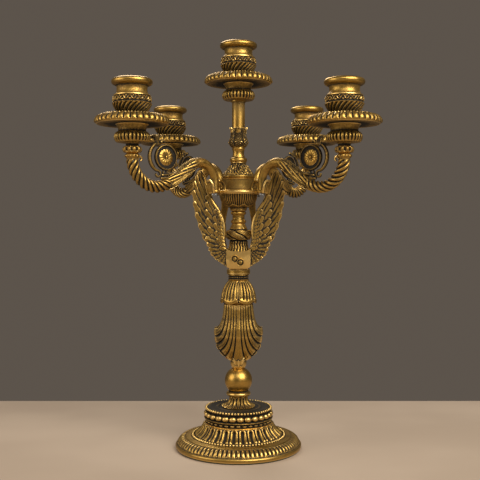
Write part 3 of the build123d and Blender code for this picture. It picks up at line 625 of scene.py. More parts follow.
def zinc_steel():
    """Zinc-plated mild steel rod, nuts and screws: pale grey with faint turning marks."""
    material, tree, surface = new_material("zinc_plated_steel")
    place = add_node(tree, "ShaderNodeTexCoord").outputs["Object"]
    cloud = add_node(tree, "ShaderNodeTexNoise", {"Scale": 260.0, "Detail": 3.0}, {"Vector": place})
    marks = add_node(
        tree, "ShaderNodeTexWave", {"Scale": 500.0, "Distortion": 1.5, "bands_direction": "Z"},
        {"Vector": place}
    )
    tint = ramp(tree, cloud.outputs["Fac"], [(0.3, linear("#7E8286")), (0.7, linear("#A9ADB0"))])
    tree.links.new(tint, surface.inputs["Base Color"])
    surface.inputs["Metallic"].default_value = 1.0
    rough = add_node(tree, "ShaderNodeMapRange", {"To Min": 0.3, "To Max": 0.5},
                     {"Value": cloud.outputs["Fac"]})
    tree.links.new(rough.outputs["Result"], surface.inputs["Roughness"])
    bump = add_node(tree, "ShaderNodeBump", {"Strength": 0.2, "Distance": 0.00005},
                    {"Height": marks.outputs["Fac"]})
    tree.links.new(bump.outputs["Normal"], surface.inputs["Normal"])
    return material


def wool_felt():
    """Pressed wool felt under the foot: matt, fibrous and slightly mottled."""
    material, tree, surface = new_material("pressed_wool_felt")
    place = add_node(tree, "ShaderNodeTexCoord").outputs["Object"]
    fibre = add_node(tree, "ShaderNodeTexNoise", {"Scale": 1400.0, "Detail": 5.0, "Roughness": 0.8},
                     {"Vector": place})
    tint = ramp(tree, fibre.outputs["Fac"], [(0.3, linear("#16241B")), (0.7, linear("#2F4636"))])
    tree.links.new(tint, surface.inputs["Base Color"])
    surface.inputs["Roughness"].default_value = 0.95
    surface.inputs["Sheen Weight"].default_value = 0.4
    bump = add_node(tree, "ShaderNodeBump", {"Strength": 0.6, "Distance": 0.0002},
                    {"Height": fibre.outputs["Fac"]})
    tree.links.new(bump.outputs["Normal"], surface.inputs["Normal"])
    return material


def plain_board(name, hex_low, hex_high):
    """Matt painted board for the floor."""
    material, tree, surface = new_material(name)
    place = add_node(tree, "ShaderNodeTexCoord").outputs["Object"]
    cloud = add_node(tree, "ShaderNodeTexNoise", {"Scale": 9.0, "Detail": 3.0}, {"Vector": place})
    tint = ramp(tree, cloud.outputs["Fac"], [(0.35, linear(hex_low)), (0.65, linear(hex_high))])
    tree.links.new(tint, surface.inputs["Base Color"])
    surface.inputs["Roughness"].default_value = 0.8
    return material


# ---- turned and chased pieces of one light ----
def socket_casting():
    """Gadrooned socket, from its seat upwards."""
    outline = trace(
        (BORE, 0), (9.4, 0), (15.0, 0.9), (17.2, 5.6, 14.6, 10.5), (13.2, 11.1), (13.1, 11.8),
        (13.7, 14.8, 15.8, 17.6), (8.1, 17.6), (8.1, 4.0), (BORE, 4.0), (BORE, 0),
        gap=0.7,
    )

    def gadroons(radius, height, angle):
        zone = window(height, 0.5, 11.0, 2.2) * (radius > 10)
        return -2.1 * (1 - lobes(angle, 28, 0.6)) * zone

    return turn("socket", outline, 28 * 10, gadroons)


def pan_casting(radius, details):
    """Drip pan with a lobed border, a bead row and a smooth well; height 0 is its underside."""
    beads_at = radius - 7.8
    outline = trace(
        (5.2, -6), (8.0, -6), (8.0, 0), (radius - 2.0, 0), (radius, 1.6),
        (radius - 1.3, 5.6, beads_at + 1.0, 8.1), (beads_at - 1.6, 7.4), (beads_at - 2.2, 5.0), (13.6, 5.0),
        (12.8, 6.8), (5.2, 6.8), (5.2, -6),
        gap=0.75,
    )
    count = details.pan_lobes

    def border(r, z, angle):
        zone = smooth(r, beads_at, beads_at + 1.4) * smooth(z, 0.9, 2.4)
        slits = -1.4 * (1 - lobes(angle, count, 0.3))
        swell = 0.5 * lobes(angle, count, 1.0)
        fine = -0.4 * (1 - lobes(angle, count * 2, 0.7)) * smooth(z, 3.6, 6.2)
        return zone * (slits + swell + fine)

    pan = turn("pan", outline, count * 10, border)
    beads = Casting()
    beads.bead_row(beads_at - 0.4, 8.1, details.pan_beads, 1.4, 0.85)
    return join([pan, beads.object("pan_beads")], "pan")


def cup_casting(details):
    """Candle cup: spigot, spirally fluted bowl, vine band, plain neck and rolled lip."""
    outline = trace(
        (0.001, -8), (5.1, -8), (5.1, 0), (9.6, 0), (10.6, 1.4), (15.6, 6.4, 18.8, 12.6), (19.3, 15.0),
        (19.1, 19.0), (18.2, 20.6), (16.2, 21.2), (14.5, 25.0, 15.2, 29.4), (17.2, 30.2),
        (19.5, 33.0, 17.7, 35.9), (15.8, 36.6), (12.2, 36.6), (11.2, 36.0), (11.2, 11.3), (0.001, 11.3),
        (0.001, -8),
        gap=0.62,
    )
    flutes = details.cup_flutes

    def chasing(radius, height, angle):
        outside = (radius > 9.8) * 1.0
        slant = angle - 0.048 * height
        flute = -1.5 * (1 - lobes(slant, flutes, 0.7)) * window(height, 0.8, 12.8, 1.2)
        at = (height - 16.8) / 3.6
        bend = 16 * angle
        stem = 0.55 * hump(at, 0.5 * np.sin(bend), 0.2)
        leaf = 0.62 * hump(np.abs(at + 0.55 * np.sin(bend)), 0, 0.34) * hump(np.abs(np.cos(bend)), 0, 0.75)
        leaf = leaf * (0.7 + 0.3 * np.cos(5 * bend))
        vine = (2.2 * stem + 2.2 * leaf - 1.9) * window(height, 12.8, 20.9, 0.6)
        return outside * (flute + vine)

    return turn("cup", outline, flutes * 12, chasing)


def bead_collar_casting():
    """Ring of round beads under an outer socket, with its short neck."""
    outline = trace(
        (BORE, 0), (7.6, 0), (9.2, 2.9, 7.6, 5.9), (6.0, 6.3), (6.0, 8.0), (6.8, 8.9), (BORE, 8.9),
        (BORE, 0), gap=0.55
    )

    def beads(radius, height, angle):
        return -2.6 * (1 - lobes(angle, 10, 0.75)) * window(height, 0.1, 6.2, 1.6) * (radius > 6.5)

    return turn("bead_collar", outline, 14 * 12, beads)


# ---- column pieces ----
def foot_casting(size, details):
    """Round foot: flange, bordered slope, smooth ring, bead row and arched flutes. Height 0 is its rim."""
    wide = size["radius"]
    tall = size["high"] - size["low"]
    border_out, border_in = wide - 1.6, wide - 10.0
    ring_in = border_in - 6.2
    flute_foot = ring_in - 3.4
    top = 35.6
    outline = trace(
        (BORE, tall), (BORE, tall - 4), (top - 3, tall - 4), (flute_foot - 6, 9.6), (border_in - 1, 7.0),
        (border_out - 3, 2.0), (border_out - 3, 0), (wide - 0.6, 0), (wide, 0.8), (wide, 3.2),
        (wide - 0.9, 4.2), (border_out, 4.6), (border_out - 1.6, 8.2, border_in, 10.8),
        (border_in - 0.8, 11.6, border_in - 2.4, 11.6), (ring_in, 12.2), (ring_in - 0.6, 11.6),
        (flute_foot + 0.4, 11.9),
        (flute_foot - 1.0, 13.6), (39.2, 18.6, top, tall - 0.6), (top, tall), (BORE, tall),
        gap=0.85,
    )
    count, tongues = details.foot_flutes, details.foot_tongues

    def chasing(radius, height, angle):
        outside = (height > 4.0) & (radius > top - 0.2)
        slope = window(radius, border_in + 0.2, border_out + 0.2, 1.1) * (height > 4.4) * (height < 11.2)
        tongue = -1.7 * (1 - lobes(angle, tongues, 0.6)) * slope
        down = np.clip((tall - height) / (tall - 13.6), 0, 1)
        flare = (radius < flute_foot + 0.2) * (height > 13.0)
        off = np.abs(((angle * count / math.tau) % 1) - 0.5) * 2
        arch = np.sqrt(off**2 + (np.clip(0.26 - down, 0, 1) / 0.24) ** 2)
        rim = 1.3 * hump(arch, 0.66, 0.3)
        hollow = -1.2 * (1 - smooth(arch, 0.12, 0.36))
        valley = -0.5 * smooth(arch, 0.86, 1.0)
        inner = 0.6 * hump(off, 0, 0.13) * smooth(down, 0.3, 0.55)
        flutes = (rim + hollow + valley + inner) * flare * window(down, 0.0, 1.02, 0.06)
        return outside * (tongue + flutes)

    foot = turn("foot", outline, tongues * 6, chasing)
    beads = Casting()
    beads.bead_row(ring_in - 1.9, 12.6, 92, 1.4)
    beads.bead_row(border_out - 0.9, 5.5, 120, 0.85, 1.1, 3, 6)
    return join([foot, beads.object("foot_beads")], "foot")


def plinth_casting(size, details):
    """Beaded drum on the foot, with a slightly dished top."""
    wide = size["radius"] - 0.4
    tall = size["high"] - size["low"]
    waist = wide - 2.2
    outline = trace(
        (BORE, 0), (wide - 0.4, 0), (wide - 0.2, 0.7), (waist, 1.2), (waist, 3.9), (wide + 0.2, 4.7),
        (wide + 0.5, 5.4),
        (wide + 0.1, 6.0), (waist - 0.2, 6.6), (waist - 0.6, 11.0), (waist, 13.2), (wide - 1.2, 13.7),
        (wide - 1.0, 14.6), (wide - 3.0, 15.9), (wide - 5.2, tall), (24.4, tall - 0.7), (23.2, tall),
        (21.4, tall),
        (20.4, tall - 0.8), (17.6, tall - 0.6), (BORE, tall), (BORE, 0),
        gap=0.8,
    )
    plinth = turn("plinth", outline, 192)
    beads = Casting()
    beads.bead_row(wide - 1.9, 2.55, details.small_beads, 1.55, 1.45, 6, 10)
    beads.bead_row(wide - 2.0, 9.3, details.large_beads, 2.95, 1.3, 8, 14)
    beads.bead_row(wide - 1.6, 15.1, 66, 1.35)
    return join([plinth, beads.object("plinth_beads")], "plinth")


def neck_casting(size):
    """Collar of upright leaves between the plinth and the ball."""
    tall = size["high"] - size["low"]
    wide = size["radius"]
    outline = bored(
        tall, (wide, 0), (wide + 0.1, 0.5), (11.4, 3.6, 9.4, tall - 0.8), (9.6, tall),
        gap=0.45,
    )

    def leaves(radius, height, angle):
        up = np.clip(height / tall, 0, 1)
        outside = (radius > 9) * smooth(height, 0.1, 0.5)
        big = lobes(angle, 16, 0.7)
        veins = 0.35 * np.cos(angle * 16 * 3) * (1 - up)
        low = lobes(angle + math.pi / 16, 16, 0.7) * (1 - smooth(up, 0.1, 0.42))
        return outside * (2.1 * np.maximum(big, 1.1 * low) - 1.8 + veins)

    return turn("neck", outline, 256, leaves)


def ball_casting(size):
    tall = size["high"] - size["low"]
    wide = size["radius"]
    centre = 5.4 + math.sqrt(wide**2 - 9.2**2)
    top_flat = math.sqrt(max(wide**2 - (tall - centre) ** 2, 1))
    outline = bored(
        tall, (9.6, 0), (10.8, 0.5), (12.8, 2.7, 10.4, 4.9), (9.4, 5.6), (wide, centre, top_flat, tall),
        gap=0.7,
    )
    return turn("ball", outline, 128)


def shell_casting(size):
    """Stem of two open shells, front and back: ribs run down a core and sweep out to a stepped edge."""
    low, high = size["low"], size["high"]
    wide = size["radius"]
    rise = high - low
    core = turn(
        "shell_core",
        trace(
            (BORE, 0), (6.6, 0), (8.3, 3.6, 8.2, 8.4), (8.6, 14), (14.2, 33, 15.2, 46),
            (14.4, 52, 14.0, rise - 1),
            (14.0, rise), (BORE, rise), (BORE, 0),
            gap=1.2,
        ),
        96,
    )
    co = read_points(core)
    co[:, 1] *= 1 - 0.2 * window(co[:, 2], 8, 60, 22)
    write_points(core, co)
    skins = Casting()
    for face in (-1, 1):
        shell_skin(skins, face, wide, rise)
        tongue = [(0, face * 5.6, 17), (0, face * 8.2, 10.5), (0, face * 8.0, 5), (0, face * 6.4, 0.8)]
        skins.blade(chain(tongue, 14), 5.6 * np.sin(np.linspace(0.9, 2.85, 14)) + 0.4, 0.8, (0, face, 0.1),
                    1.5, 10, 0.5)
    return join([core, skins.object("shell_skins")], "shell")


SHELL_EDGE = ((0.0, 7.4), (5.0, 7.6), (11.5, 9.4), (16.8, 13.4), (21.2, 18.6), (24.2, 25.0), (25.3, 31.6),
              (25.6, 37.0),
              (25.6, 42.4))


def shell_skin(casting, face, wide, rise):
    """One open shell: flutes run down from the top and sweep out to a scalloped edge."""
    ribs, rows = 5, 46
    shares = np.linspace(-1, 1, 2 * (ribs * 16 + 14) + 1)
    edge = chain(SHELL_EDGE, 60)
    t = np.linspace(0, 1, rows)
    skin, inside = [], []
    for share in shares:
        side, s = (-1 if share < 0 else 1), abs(share)
        phase = (s - 0.15) / 0.85 * ribs
        crest = 1 - (s / 0.15) ** 4 * 0.9 if s < 0.15 else np.abs(np.sin(phase * math.pi)) ** 0.55
        crest = crest - 0.16 * (s > 0.15) * hump((phase + 0.08) % 1, 0.5, 0.1)
        if s > 0.985:
            crest = 0.55
        tip = np.array([np.interp(s, np.linspace(0, 1, 60), edge[:, k]) for k in range(2)])
        if s >= 0.15:
            tip = tip - (1 - crest) * 1.5 * np.array((0.8, -0.5))
        start, dip = 15.2 * s, np.interp(s, [0, 0.3, 0.6, 1], [16, 11.0, 4.0, -3.2])
        flat = bezier([(start, rise - 0.3), (start, tip[1] + 27), (start + 0.8, tip[1] + dip), tuple(tip)],
                      rows)
        depth = np.interp(t, [0, 0.25, 0.6, 0.95, 1], [0.9, 1.3, 2.1, 2.9, 2.4])
        line = on_shell(flat, side, face, wide)
        line[:, 1] -= face * depth * (1 - crest)
        skin.append(line)
        inside.append(on_shell(flat, side, face, wide, 4.6))
    grid = np.array(skin), np.array(inside)
    start, columns = len(casting.points), len(shares)
    for layer in grid:
        casting.points += list(layer.reshape(-1, 3))

    def spot(layer, i, j):
        return start + (layer * columns + i) * rows + j

    for i in range(columns - 1):
        for j in range(rows - 1):
            for layer in (0, 1):
                casting.faces.append(tuple(spot(layer, i + a, j + b) for a,
                                           b in ((0, 0), (1, 0), (1, 1), (0, 1))))
        for j in (0, rows - 1):
            casting.faces.append((spot(0, i, j), spot(0, i + 1, j), spot(1, i + 1, j), spot(1, i, j)))
    for i in (0, columns - 1):
        for j in range(rows - 1):
            casting.faces.append((spot(0, i, j), spot(0, i, j + 1), spot(1, i, j + 1), spot(1, i, j)))


def on_shell(flat, side, face, wide, sink=0.0):
    """Lay a front-view curve of (x, z) points on the bulging front or back of the shells."""
    x, z = flat[:, 0], flat[:, 1]
    half = np.interp(z, [0, 10, 20, 34, 42, 52, 67], [8.6, 11.5, 20, wide, wide - 0.4, 19.6, 17.0])
    depth = np.interp(z, [0, 10, 20, 34, 42, 52, 67], [7.0, 9.2, 13.6, 17.6, 17.4, 15.2, 14.6])
    y = depth * np.sqrt(np.clip(1 - (x / (half * 1.06)) ** 2, 0.03, 1)) - sink
    return np.stack([side * x, face * y, z], axis=1)


def skirt_casting(size):
    """Six scalloped lobes of a bell, each ribbed, with a rolled lower lip."""
    tall = size["high"] - size["low"]
    wide = size["radius"]
    outline = trace(
        (BORE, 0.4), (13.6, 0.4), (16.4, 1.4), (17.6, 0.2), (18.9, 1.0), (wide, 3.4), (18.4, 6.6),
        (16.6, 15.0, 11.2, tall - 1.2), (10.2, tall), (BORE, tall), (BORE, 0.4),
        gap=0.6,
    )

    def ribs(radius, height, angle):
        lobe = np.abs(np.sin(3 * (angle - FRONT)))
        up = np.clip(height / tall, 0, 1)
        outside = (radius > 9.9) * smooth(height, 0.9, 2.4)
        rib = -1.25 * (1 - lobes(angle - FRONT, 30, 0.8)) * window(height, 4.0, tall - 0.4, 2.4)
        part = -2.2 * (1 - smooth(lobe, 0, 0.34)) * (1 - 0.6 * up)
        return outside * (rib + part)

    skirt = turn("skirt", outline, 300, ribs)
    co = read_points(skirt)
    lobe = np.abs(np.sin(3 * (np.arctan2(co[:, 1], co[:, 0]) - FRONT)))
    reach = np.hypot(co[:, 0], co[:, 1])
    lift = 3.6 * (1 - lobe**0.8) * (1 - smooth(co[:, 2], 3, 12)) * smooth(reach, 13.8, 16.5)
    co[:, 2] += lift
    write_points(skirt, co)
    return skirt


def beaded_collar_casting(size):
    tall = size["high"] - size["low"]
    wide = size["radius"]
    outline = bored(
        tall, (wide - 0.6, 0), (wide, 0.6), (wide, 1.2), (wide - 1.2, 1.8), (wide - 1.2, tall - 1.8),
        (wide, tall - 1.2), (wide, tall - 0.6), (wide - 0.6, tall),
        gap=0.6,
    )
    collar = turn("collar", outline, 96)
    beads = Casting()
    beads.bead_row(wide - 1.1, tall / 2, 36, 1.0)
    return join([collar, beads.object("collar_beads")], "collar")


def lower_knop_casting(size):
    """Urn of curled leaves: a ribbed flare below, heavy twisted leaves above."""
    tall = size["high"] - size["low"]
    wide = size["radius"]
    outline = bored(
        tall, (wide - 1.4, 0), (wide - 1.0, 0.8), (10.4, 5.0, 9.6, 9.0), (10.2, 12.4), (wide - 1.2, 15.4),
        (wide - 0.2, 18.6, wide - 2.6, 22.8), (8.6, 25.6), (6.8, tall),
        gap=0.5,
    )

    def leaves(radius, height, angle):
        outside = (radius > 5.5) * 1.0
        low = -1.7 * (1 - lobes(angle + 0.03 * np.sin(height), 20, 0.6)) * window(height, 0.3, 12.6, 1.4)
        twist = angle + 0.16 * (height - 18)
        fold = np.abs(((twist * 5 / math.tau) % 1) - 0.5) * 2
        big = 1.5 * (1 - fold**2) - 1.2 * hump(fold, 1, 0.12)
        fine = -0.7 * (1 - lobes(twist + 0.25 * fold, 40, 0.7))
        heavy = (big + fine) * window(height, 12.2, 24.4, 1.6)
        cap = (0.9 * lobes(angle + 0.5, 6, 0.6) - 0.5) * hump(height, 25.2, 1.5) - 1.3 * hump(height, 23.2,
                                                                                              0.7)
        return outside * (low + heavy + cap - 1.2 * hump(height, 12.0, 0.9))

    return turn("knop", outline, 240, leaves)


def ring_neck_casting(size):
    tall = size["high"] - size["low"]
    wide = size["radius"]
    outline = bored(
        tall, (6.6, 0), (6.8, 0.6), (wide + 0.2, 2.4, 6.9, 4.2), (6.3, 4.7), (6.1, 6.3),
        (6.6, 6.9, 6.1, 7.5),
        (6.3, 9.2), (6.9, 9.7), (wide + 0.2, 11.5, 6.8, tall - 0.6), (6.6, tall),
        gap=0.45,
    )
    return turn("ring_neck", outline, 96)


def bowl_casting(size, details):
    """Reeded bowl with a leaf band folded into a V at its foot."""
    tall = size["high"] - size["low"]
    wide = size["radius"]
    outline = bored(
        tall, (8.0, 0), (8.6, 0.8), (9.6, 3.6), (17.4, 8.6, wide, tall - 1.6), (wide, tall),
        gap=0.5,
    )

    def reeds(radius, height, angle):
        outside = (radius > 8.7) * 1.0
        fold = np.abs(((angle - FRONT) * 8 / math.tau + 0.5) % 1 - 0.5) * 2
        edge = 4.4 + 2.2 * fold
        reed = -1.15 * (1 - lobes(angle, details.bowl_reeds, 0.7)) * smooth(height, edge, edge + 0.8)
        band = (0.9 * hump(height, edge - 0.3, 0.7) - 0.3) * (height < edge + 1.5)
        return outside * (reed * (1 - smooth(height, tall - 1.2, tall)) + band)

    return turn("bowl", outline, details.bowl_reeds * 6, reeds)


def drum_casting(size):
    tall = size["high"] - size["low"]
    wide = size["radius"]
    outline = bored(
        tall, (wide + 0.6, 0), (wide + 0.6, 1.0), (wide - 0.2, 1.6), (wide - 0.4, 6.0),
        (wide - 0.2, tall - 1.4),
        (wide + 0.3, tall - 0.8), (wide + 0.3, tall),
        gap=1.0,
    )
    return turn("drum", outline, 128)


def cap_casting(size):
    """Domed hub cap chased all over with overlapping leaves, above a plain rim."""
    tall = size["high"] - size["low"]
    wide = size["radius"]
    outline = bored(
        tall, (wide - 1.4, 0), (wide - 0.9, 0.7), (wide, 1.7, wide - 0.6, 2.8), (wide - 1.2, 3.3),
        (12.3, 8.8, 8.4, tall - 0.6), (8.2, tall),
        gap=0.42,
    )

    def leaves(radius, height, angle):
        zone = smooth(height, 3.2, 4.0) * (1 - smooth(height, tall - 1.2, tall - 0.4)) * (radius > 8)
        up = (height - 3.2) / (tall - 4)
        tip = np.abs(((angle - FRONT) * 10 / math.tau) % 1 - 0.5) * 2
        tip2 = np.abs(((angle - FRONT) * 10 / math.tau + 0.5) % 1 - 0.5) * 2
        row1 = smooth(0.88 - 0.5 * tip**1.3 - up, -0.05, 0.05)
        row2 = smooth(0.46 - 0.4 * tip2**1.3 - up, -0.05, 0.05)
        veins = 0.32 * np.cos(30 * angle + 12 * up) + 0.28 * np.cos(24 * up + 9 * np.abs(tip - 0.5) + 3
                                                                    * np.sin(7 * angle))
        return zone * (1.1 * row1 + 0.9 * row2 + veins - 1.3)

    return turn("cap", outline, 300, leaves)


def baluster_casting(size):
    tall = size["high"] - size["low"]
    wide = size["radius"]
    outline = bored(
        tall, (7.7, 0), (wide, 2.5, 7.7, 5.0), (7.0, 5.2), (5.9, 9.0, 6.5, tall - 2.0), (6.9, tall - 1.2),
        (6.4, tall),
        gap=0.5,
    )
    return turn("baluster", outline, 96)


def upper_knop_casting(size):
    """Slim knop of acanthus leaves with free tips at the top and small volutes below."""
    tall = size["high"] - size["low"]
    wide = size["radius"]
    outline = bored(
        tall, (6.6, 0), (7.2, 0.8), (wide - 0.6, 4.8, 8.6, 10.0), (7.9, 15.5), (8.2, tall - 1.6),
        (7.2, tall),
        gap=0.42,
    )

    def leaves(radius, height, angle):
        zone = (radius > 6) * window(height, 0.4, tall + 1, 1.2)
        leaf = np.abs(((angle - FRONT) * 6 / math.tau + 0.5) % 1 - 0.5) * 2
        veins = -0.9 * (1 - lobes(angle + 0.1 * (height - 8) * np.sign(leaf - 0.5), 36, 0.8))
        body = 1.7 * (1 - leaf**2) - 0.5
        return zone * (body + veins - 0.35)

    knop = turn("upper_knop", outline, 216, leaves)
    extra = Casting()
    for i in range(6):
        spot = FRONT + i * math.pi / 3
        out = np.array((math.cos(spot), math.sin(spot), 0.0))
        along = np.array((-math.sin(spot), math.cos(spot), 0.0))
        flat = chain([(7.6, 12.0), (8.5, 16.0), (9.0, 19.2), (10.0, 20.4), (10.4, 19.6)], 14)
        path = flat[:, :1] * out + flat[:, 1:] * np.array((0, 0, 1.0))
        extra.blade(path, 2.1 * np.sin(np.linspace(0.6, 2.9, 14)), 0.5, out, 0.8, 6, 0.3)
        for way in (-1, 1):
            t = np.linspace(0, 5.6, 16)[:, None]
            aside = along * way * (2.2 + 1.5 * np.cos(t) * (1 - t / 9))
            curl = out * 9.6 + aside + np.array((0, 0, 1)) * (4.6 + 1.5 * np.sin(t) * (1 - t / 9))
            extra.tube(curl, np.linspace(0.85, 0.55, 16), out, 8)
    return join([knop, extra.object("upper_knop_leaves")], "upper_knop")


def tube_casting(size):
    tall = size["high"] - size["low"]
    wide = size["radius"]
    outline = bored(
        tall, (wide, 0), (wide, tall - 1.8), (wide + 1.2, tall - 0.9), (wide + 1.2, tall),
        gap=1.2,
    )
    return turn("tube", outline, 96)


# ---- arms and scrolls: reach is the distance from the column, rise the height ----
def arc_path(centre, radius, start, end, count):
    turns = np.radians(np.linspace(start, end, count))
    return np.stack([centre[0] + radius * np.cos(turns), centre[1] + radius * np.sin(turns)], axis=1)


def flat_path(points, offset=0.0):
    """(reach, rise) points standing in the arm's own upright plane, offset to one side of it."""
    points = np.asarray(points, float)
    return np.stack([points[:, 0], 0 * points[:, 0] + offset, points[:, 1]], axis=1)


def arm_spine(size):
    """The arm's middle line, from its foot on the hub to the socket."""
    foot, end, seat, top = size["foot"], size["reach"], size["seat"], size["top"]
    arch, swan = ARCH_BEND, SWAN_BEND
    arch_at = (foot + arch, seat + 11.9)
    swan_at = (end - swan, top - 4.8)
    up = np.stack([np.full(12, foot), np.linspace(seat, arch_at[1], 12)], axis=1)
    leg = np.array(swan_at) - np.array(arch_at)
    span = math.hypot(*leg)
    lean = math.atan2(leg[1], leg[0])
    inner = math.acos((arch + swan) / span)
    leave = lean + inner
    over = arc_path(arch_at, arch, 180, math.degrees(leave), 34)
    under = arc_path(swan_at, swan, math.degrees(leave) + 180, 360, 60)
    start, stop = over[-1], under[0]
    straight = start + (stop - start) * np.linspace(0, 1, 24)[1:-1, None]
    rise = np.stack([np.full(6, end), np.linspace(top - 4.8, top, 7)[1:]], axis=1)
    return np.concatenate([up, over[1:], straight, under, rise])


def resample(path, count):
    at = np.concatenate([[0], np.cumsum(np.linalg.norm(np.diff(path, axis=0), axis=1))])
    t = np.linspace(0, at[-1], count)
    return np.stack([np.interp(t, at, path[:, k]) for k in range(path.shape[1])], axis=1), t


def arm_casting(size):
    """One arm in the plane of +X: plain leg and arch, leafy sheath, rope-twisted sweep and leaf collar."""
    rows, sides = 560, 72
    path, at = resample(flat_path(arm_spine(size)), rows)
    reach = path[:, 0]
    total = at[-1]
    foot_to_leaf = at[np.argmax(reach > 54.0)]
    leaf_end = at[np.argmax(reach > 88.0)]
    rope_end = total - 5.6
    u = at[:, None]
    turns = np.linspace(0, math.tau, sides, endpoint=False)[None, :]
    plain = 4.3 + 0.9 * smooth(u, foot_to_leaf - 16, foot_to_leaf)
    sheath = window(u, foot_to_leaf, leaf_end + 5, 6)
    rope = window(u, leaf_end - 1.0, rope_end, 2.5)
    along = (u - foot_to_leaf) / (leaf_end - foot_to_leaf)
    radius = plain * (1 - sheath) * (1 - rope) + sheath * (6.3 - 0.9 * along) + rope * (1 - sheath) * 5.9
    ribs = -1.5 * (1 - lobes(turns + 0.05 * u, 9, 0.6))
    strand = -2.3 * (1 - np.abs(np.cos((u * math.tau / 5.4 + 5 * turns) / 2)) ** 0.7)
    collar = smooth(u, rope_end - 0.5, rope_end + 0.5)
    leaf_ring = 2.5 * hump(u, total - 3.0, 2.0) * (0.6 + 0.4 * lobes(turns, 10, 0.7))
    radius = radius + sheath * ribs + rope * (1 - sheath) * strand
    radius = radius * (1 - collar) + collar * (4.9 + leaf_ring)
    across, height = radius * np.cos(turns), radius * np.sin(turns)
    arm = Casting()
    arm.ribbon(path, across, height, (0, 1, 0))
    arm_leaves(arm, size)
    return arm.object("arm")


def arm_leaves(arm, size):
    foot, seat = size["foot"], size["seat"]
    # upright leaf on the outer side of the leg, tip curling out
    leaf = chain([(foot + 3.9, seat + 0.2), (foot + 5.4, seat + 5), (foot + 6.0, seat + 9),
                  (foot + 8.0, seat + 12.6), (foot + 9.4, seat + 12.4)], 22)
    arm.blade(flat_path(leaf), 5.6 * np.sin(np.linspace(0.9, 2.8, 22)), 1.6, (0.9, 0, -0.3), 1.0, 14, 0.9,
              0.0, 5)
    # fern leaves along both flanks of the sheath, and pointed tips standing off its top and foot
    shift = seat - LEG_FOOT
    for side in (-1, 1):
        upper = chain([(55.0, 301.4), (62.0, 299.6), (70.0, 294.4), (78.0, 289.0), (84.0, 286.4)], 30)
        path = flat_path(upper + (0, shift), side * 3.6)
        arm.blade(path, np.interp(np.linspace(0, 1, 30), [0, 0.3, 0.75, 1], [1.4, 3.3, 3.4, 0.5]), 0.9,
                  (0.3, side, 0.55),
                  1.0, cells=10, groove=0.4, barbs=0.42)
        lower = chain([(60.0, 293.6), (68.0, 288.4), (76.0, 282.6), (84.0, 277.6), (91.0, 274.6)], 30)
        path = flat_path(lower + (0, shift), side * 4.2)
        arm.blade(path, np.interp(np.linspace(0, 1, 30), [0, 0.4, 0.8, 1], [1.2, 3.2, 2.8, 0.4]), 0.9,
                  (-0.1, side, -0.15),
                  1.0, cells=12, groove=0.7, ribs=5)
    for x, top in ((57.0, 302.6), (64.0, 300.6), (71.0, 296.0), (78.0, 291.0)):
        curve = chain([(x + 4.4, top - 5.4), (x + 1.0, top - 1.8), (x - 3.4, top - 0.6)], 9)
        arm.blade(flat_path(curve + (0, shift)), 2.3 * np.sin(np.linspace(0.8, 3.0, 9)), 0.6,
                  (0.5, 0, 0.85), 0.8, 6, 0.35)
    for x, low in ((84.0, 273.8), (88.0, 272.0)):
        curve = chain([(x - 7.0, low + 4.4), (x - 2.0, low + 0.6), (x + 4.0, low - 0.6)], 9)
        arm.blade(flat_path(curve + (0, shift)), 2.6 * np.sin(np.linspace(0.8, 3.0, 9)), 0.6,
                  (-0.5, 0, -0.85), 0.8, 6, 0.35)
    # small curled hook on the inner side under the socket
    hook_at = np.array((size["reach"] - 8.6, size["top"] - 5.6))
    turns = np.linspace(-0.5, 5.0, 20)
    hook = hook_at + np.stack([np.cos(turns), np.sin(turns)], axis=1) * np.linspace(3.0, 1.2, 20)[:, None]
    arm.tube(flat_path(hook), np.linspace(1.5, 0.9, 20), (0, 1, 0), 10)


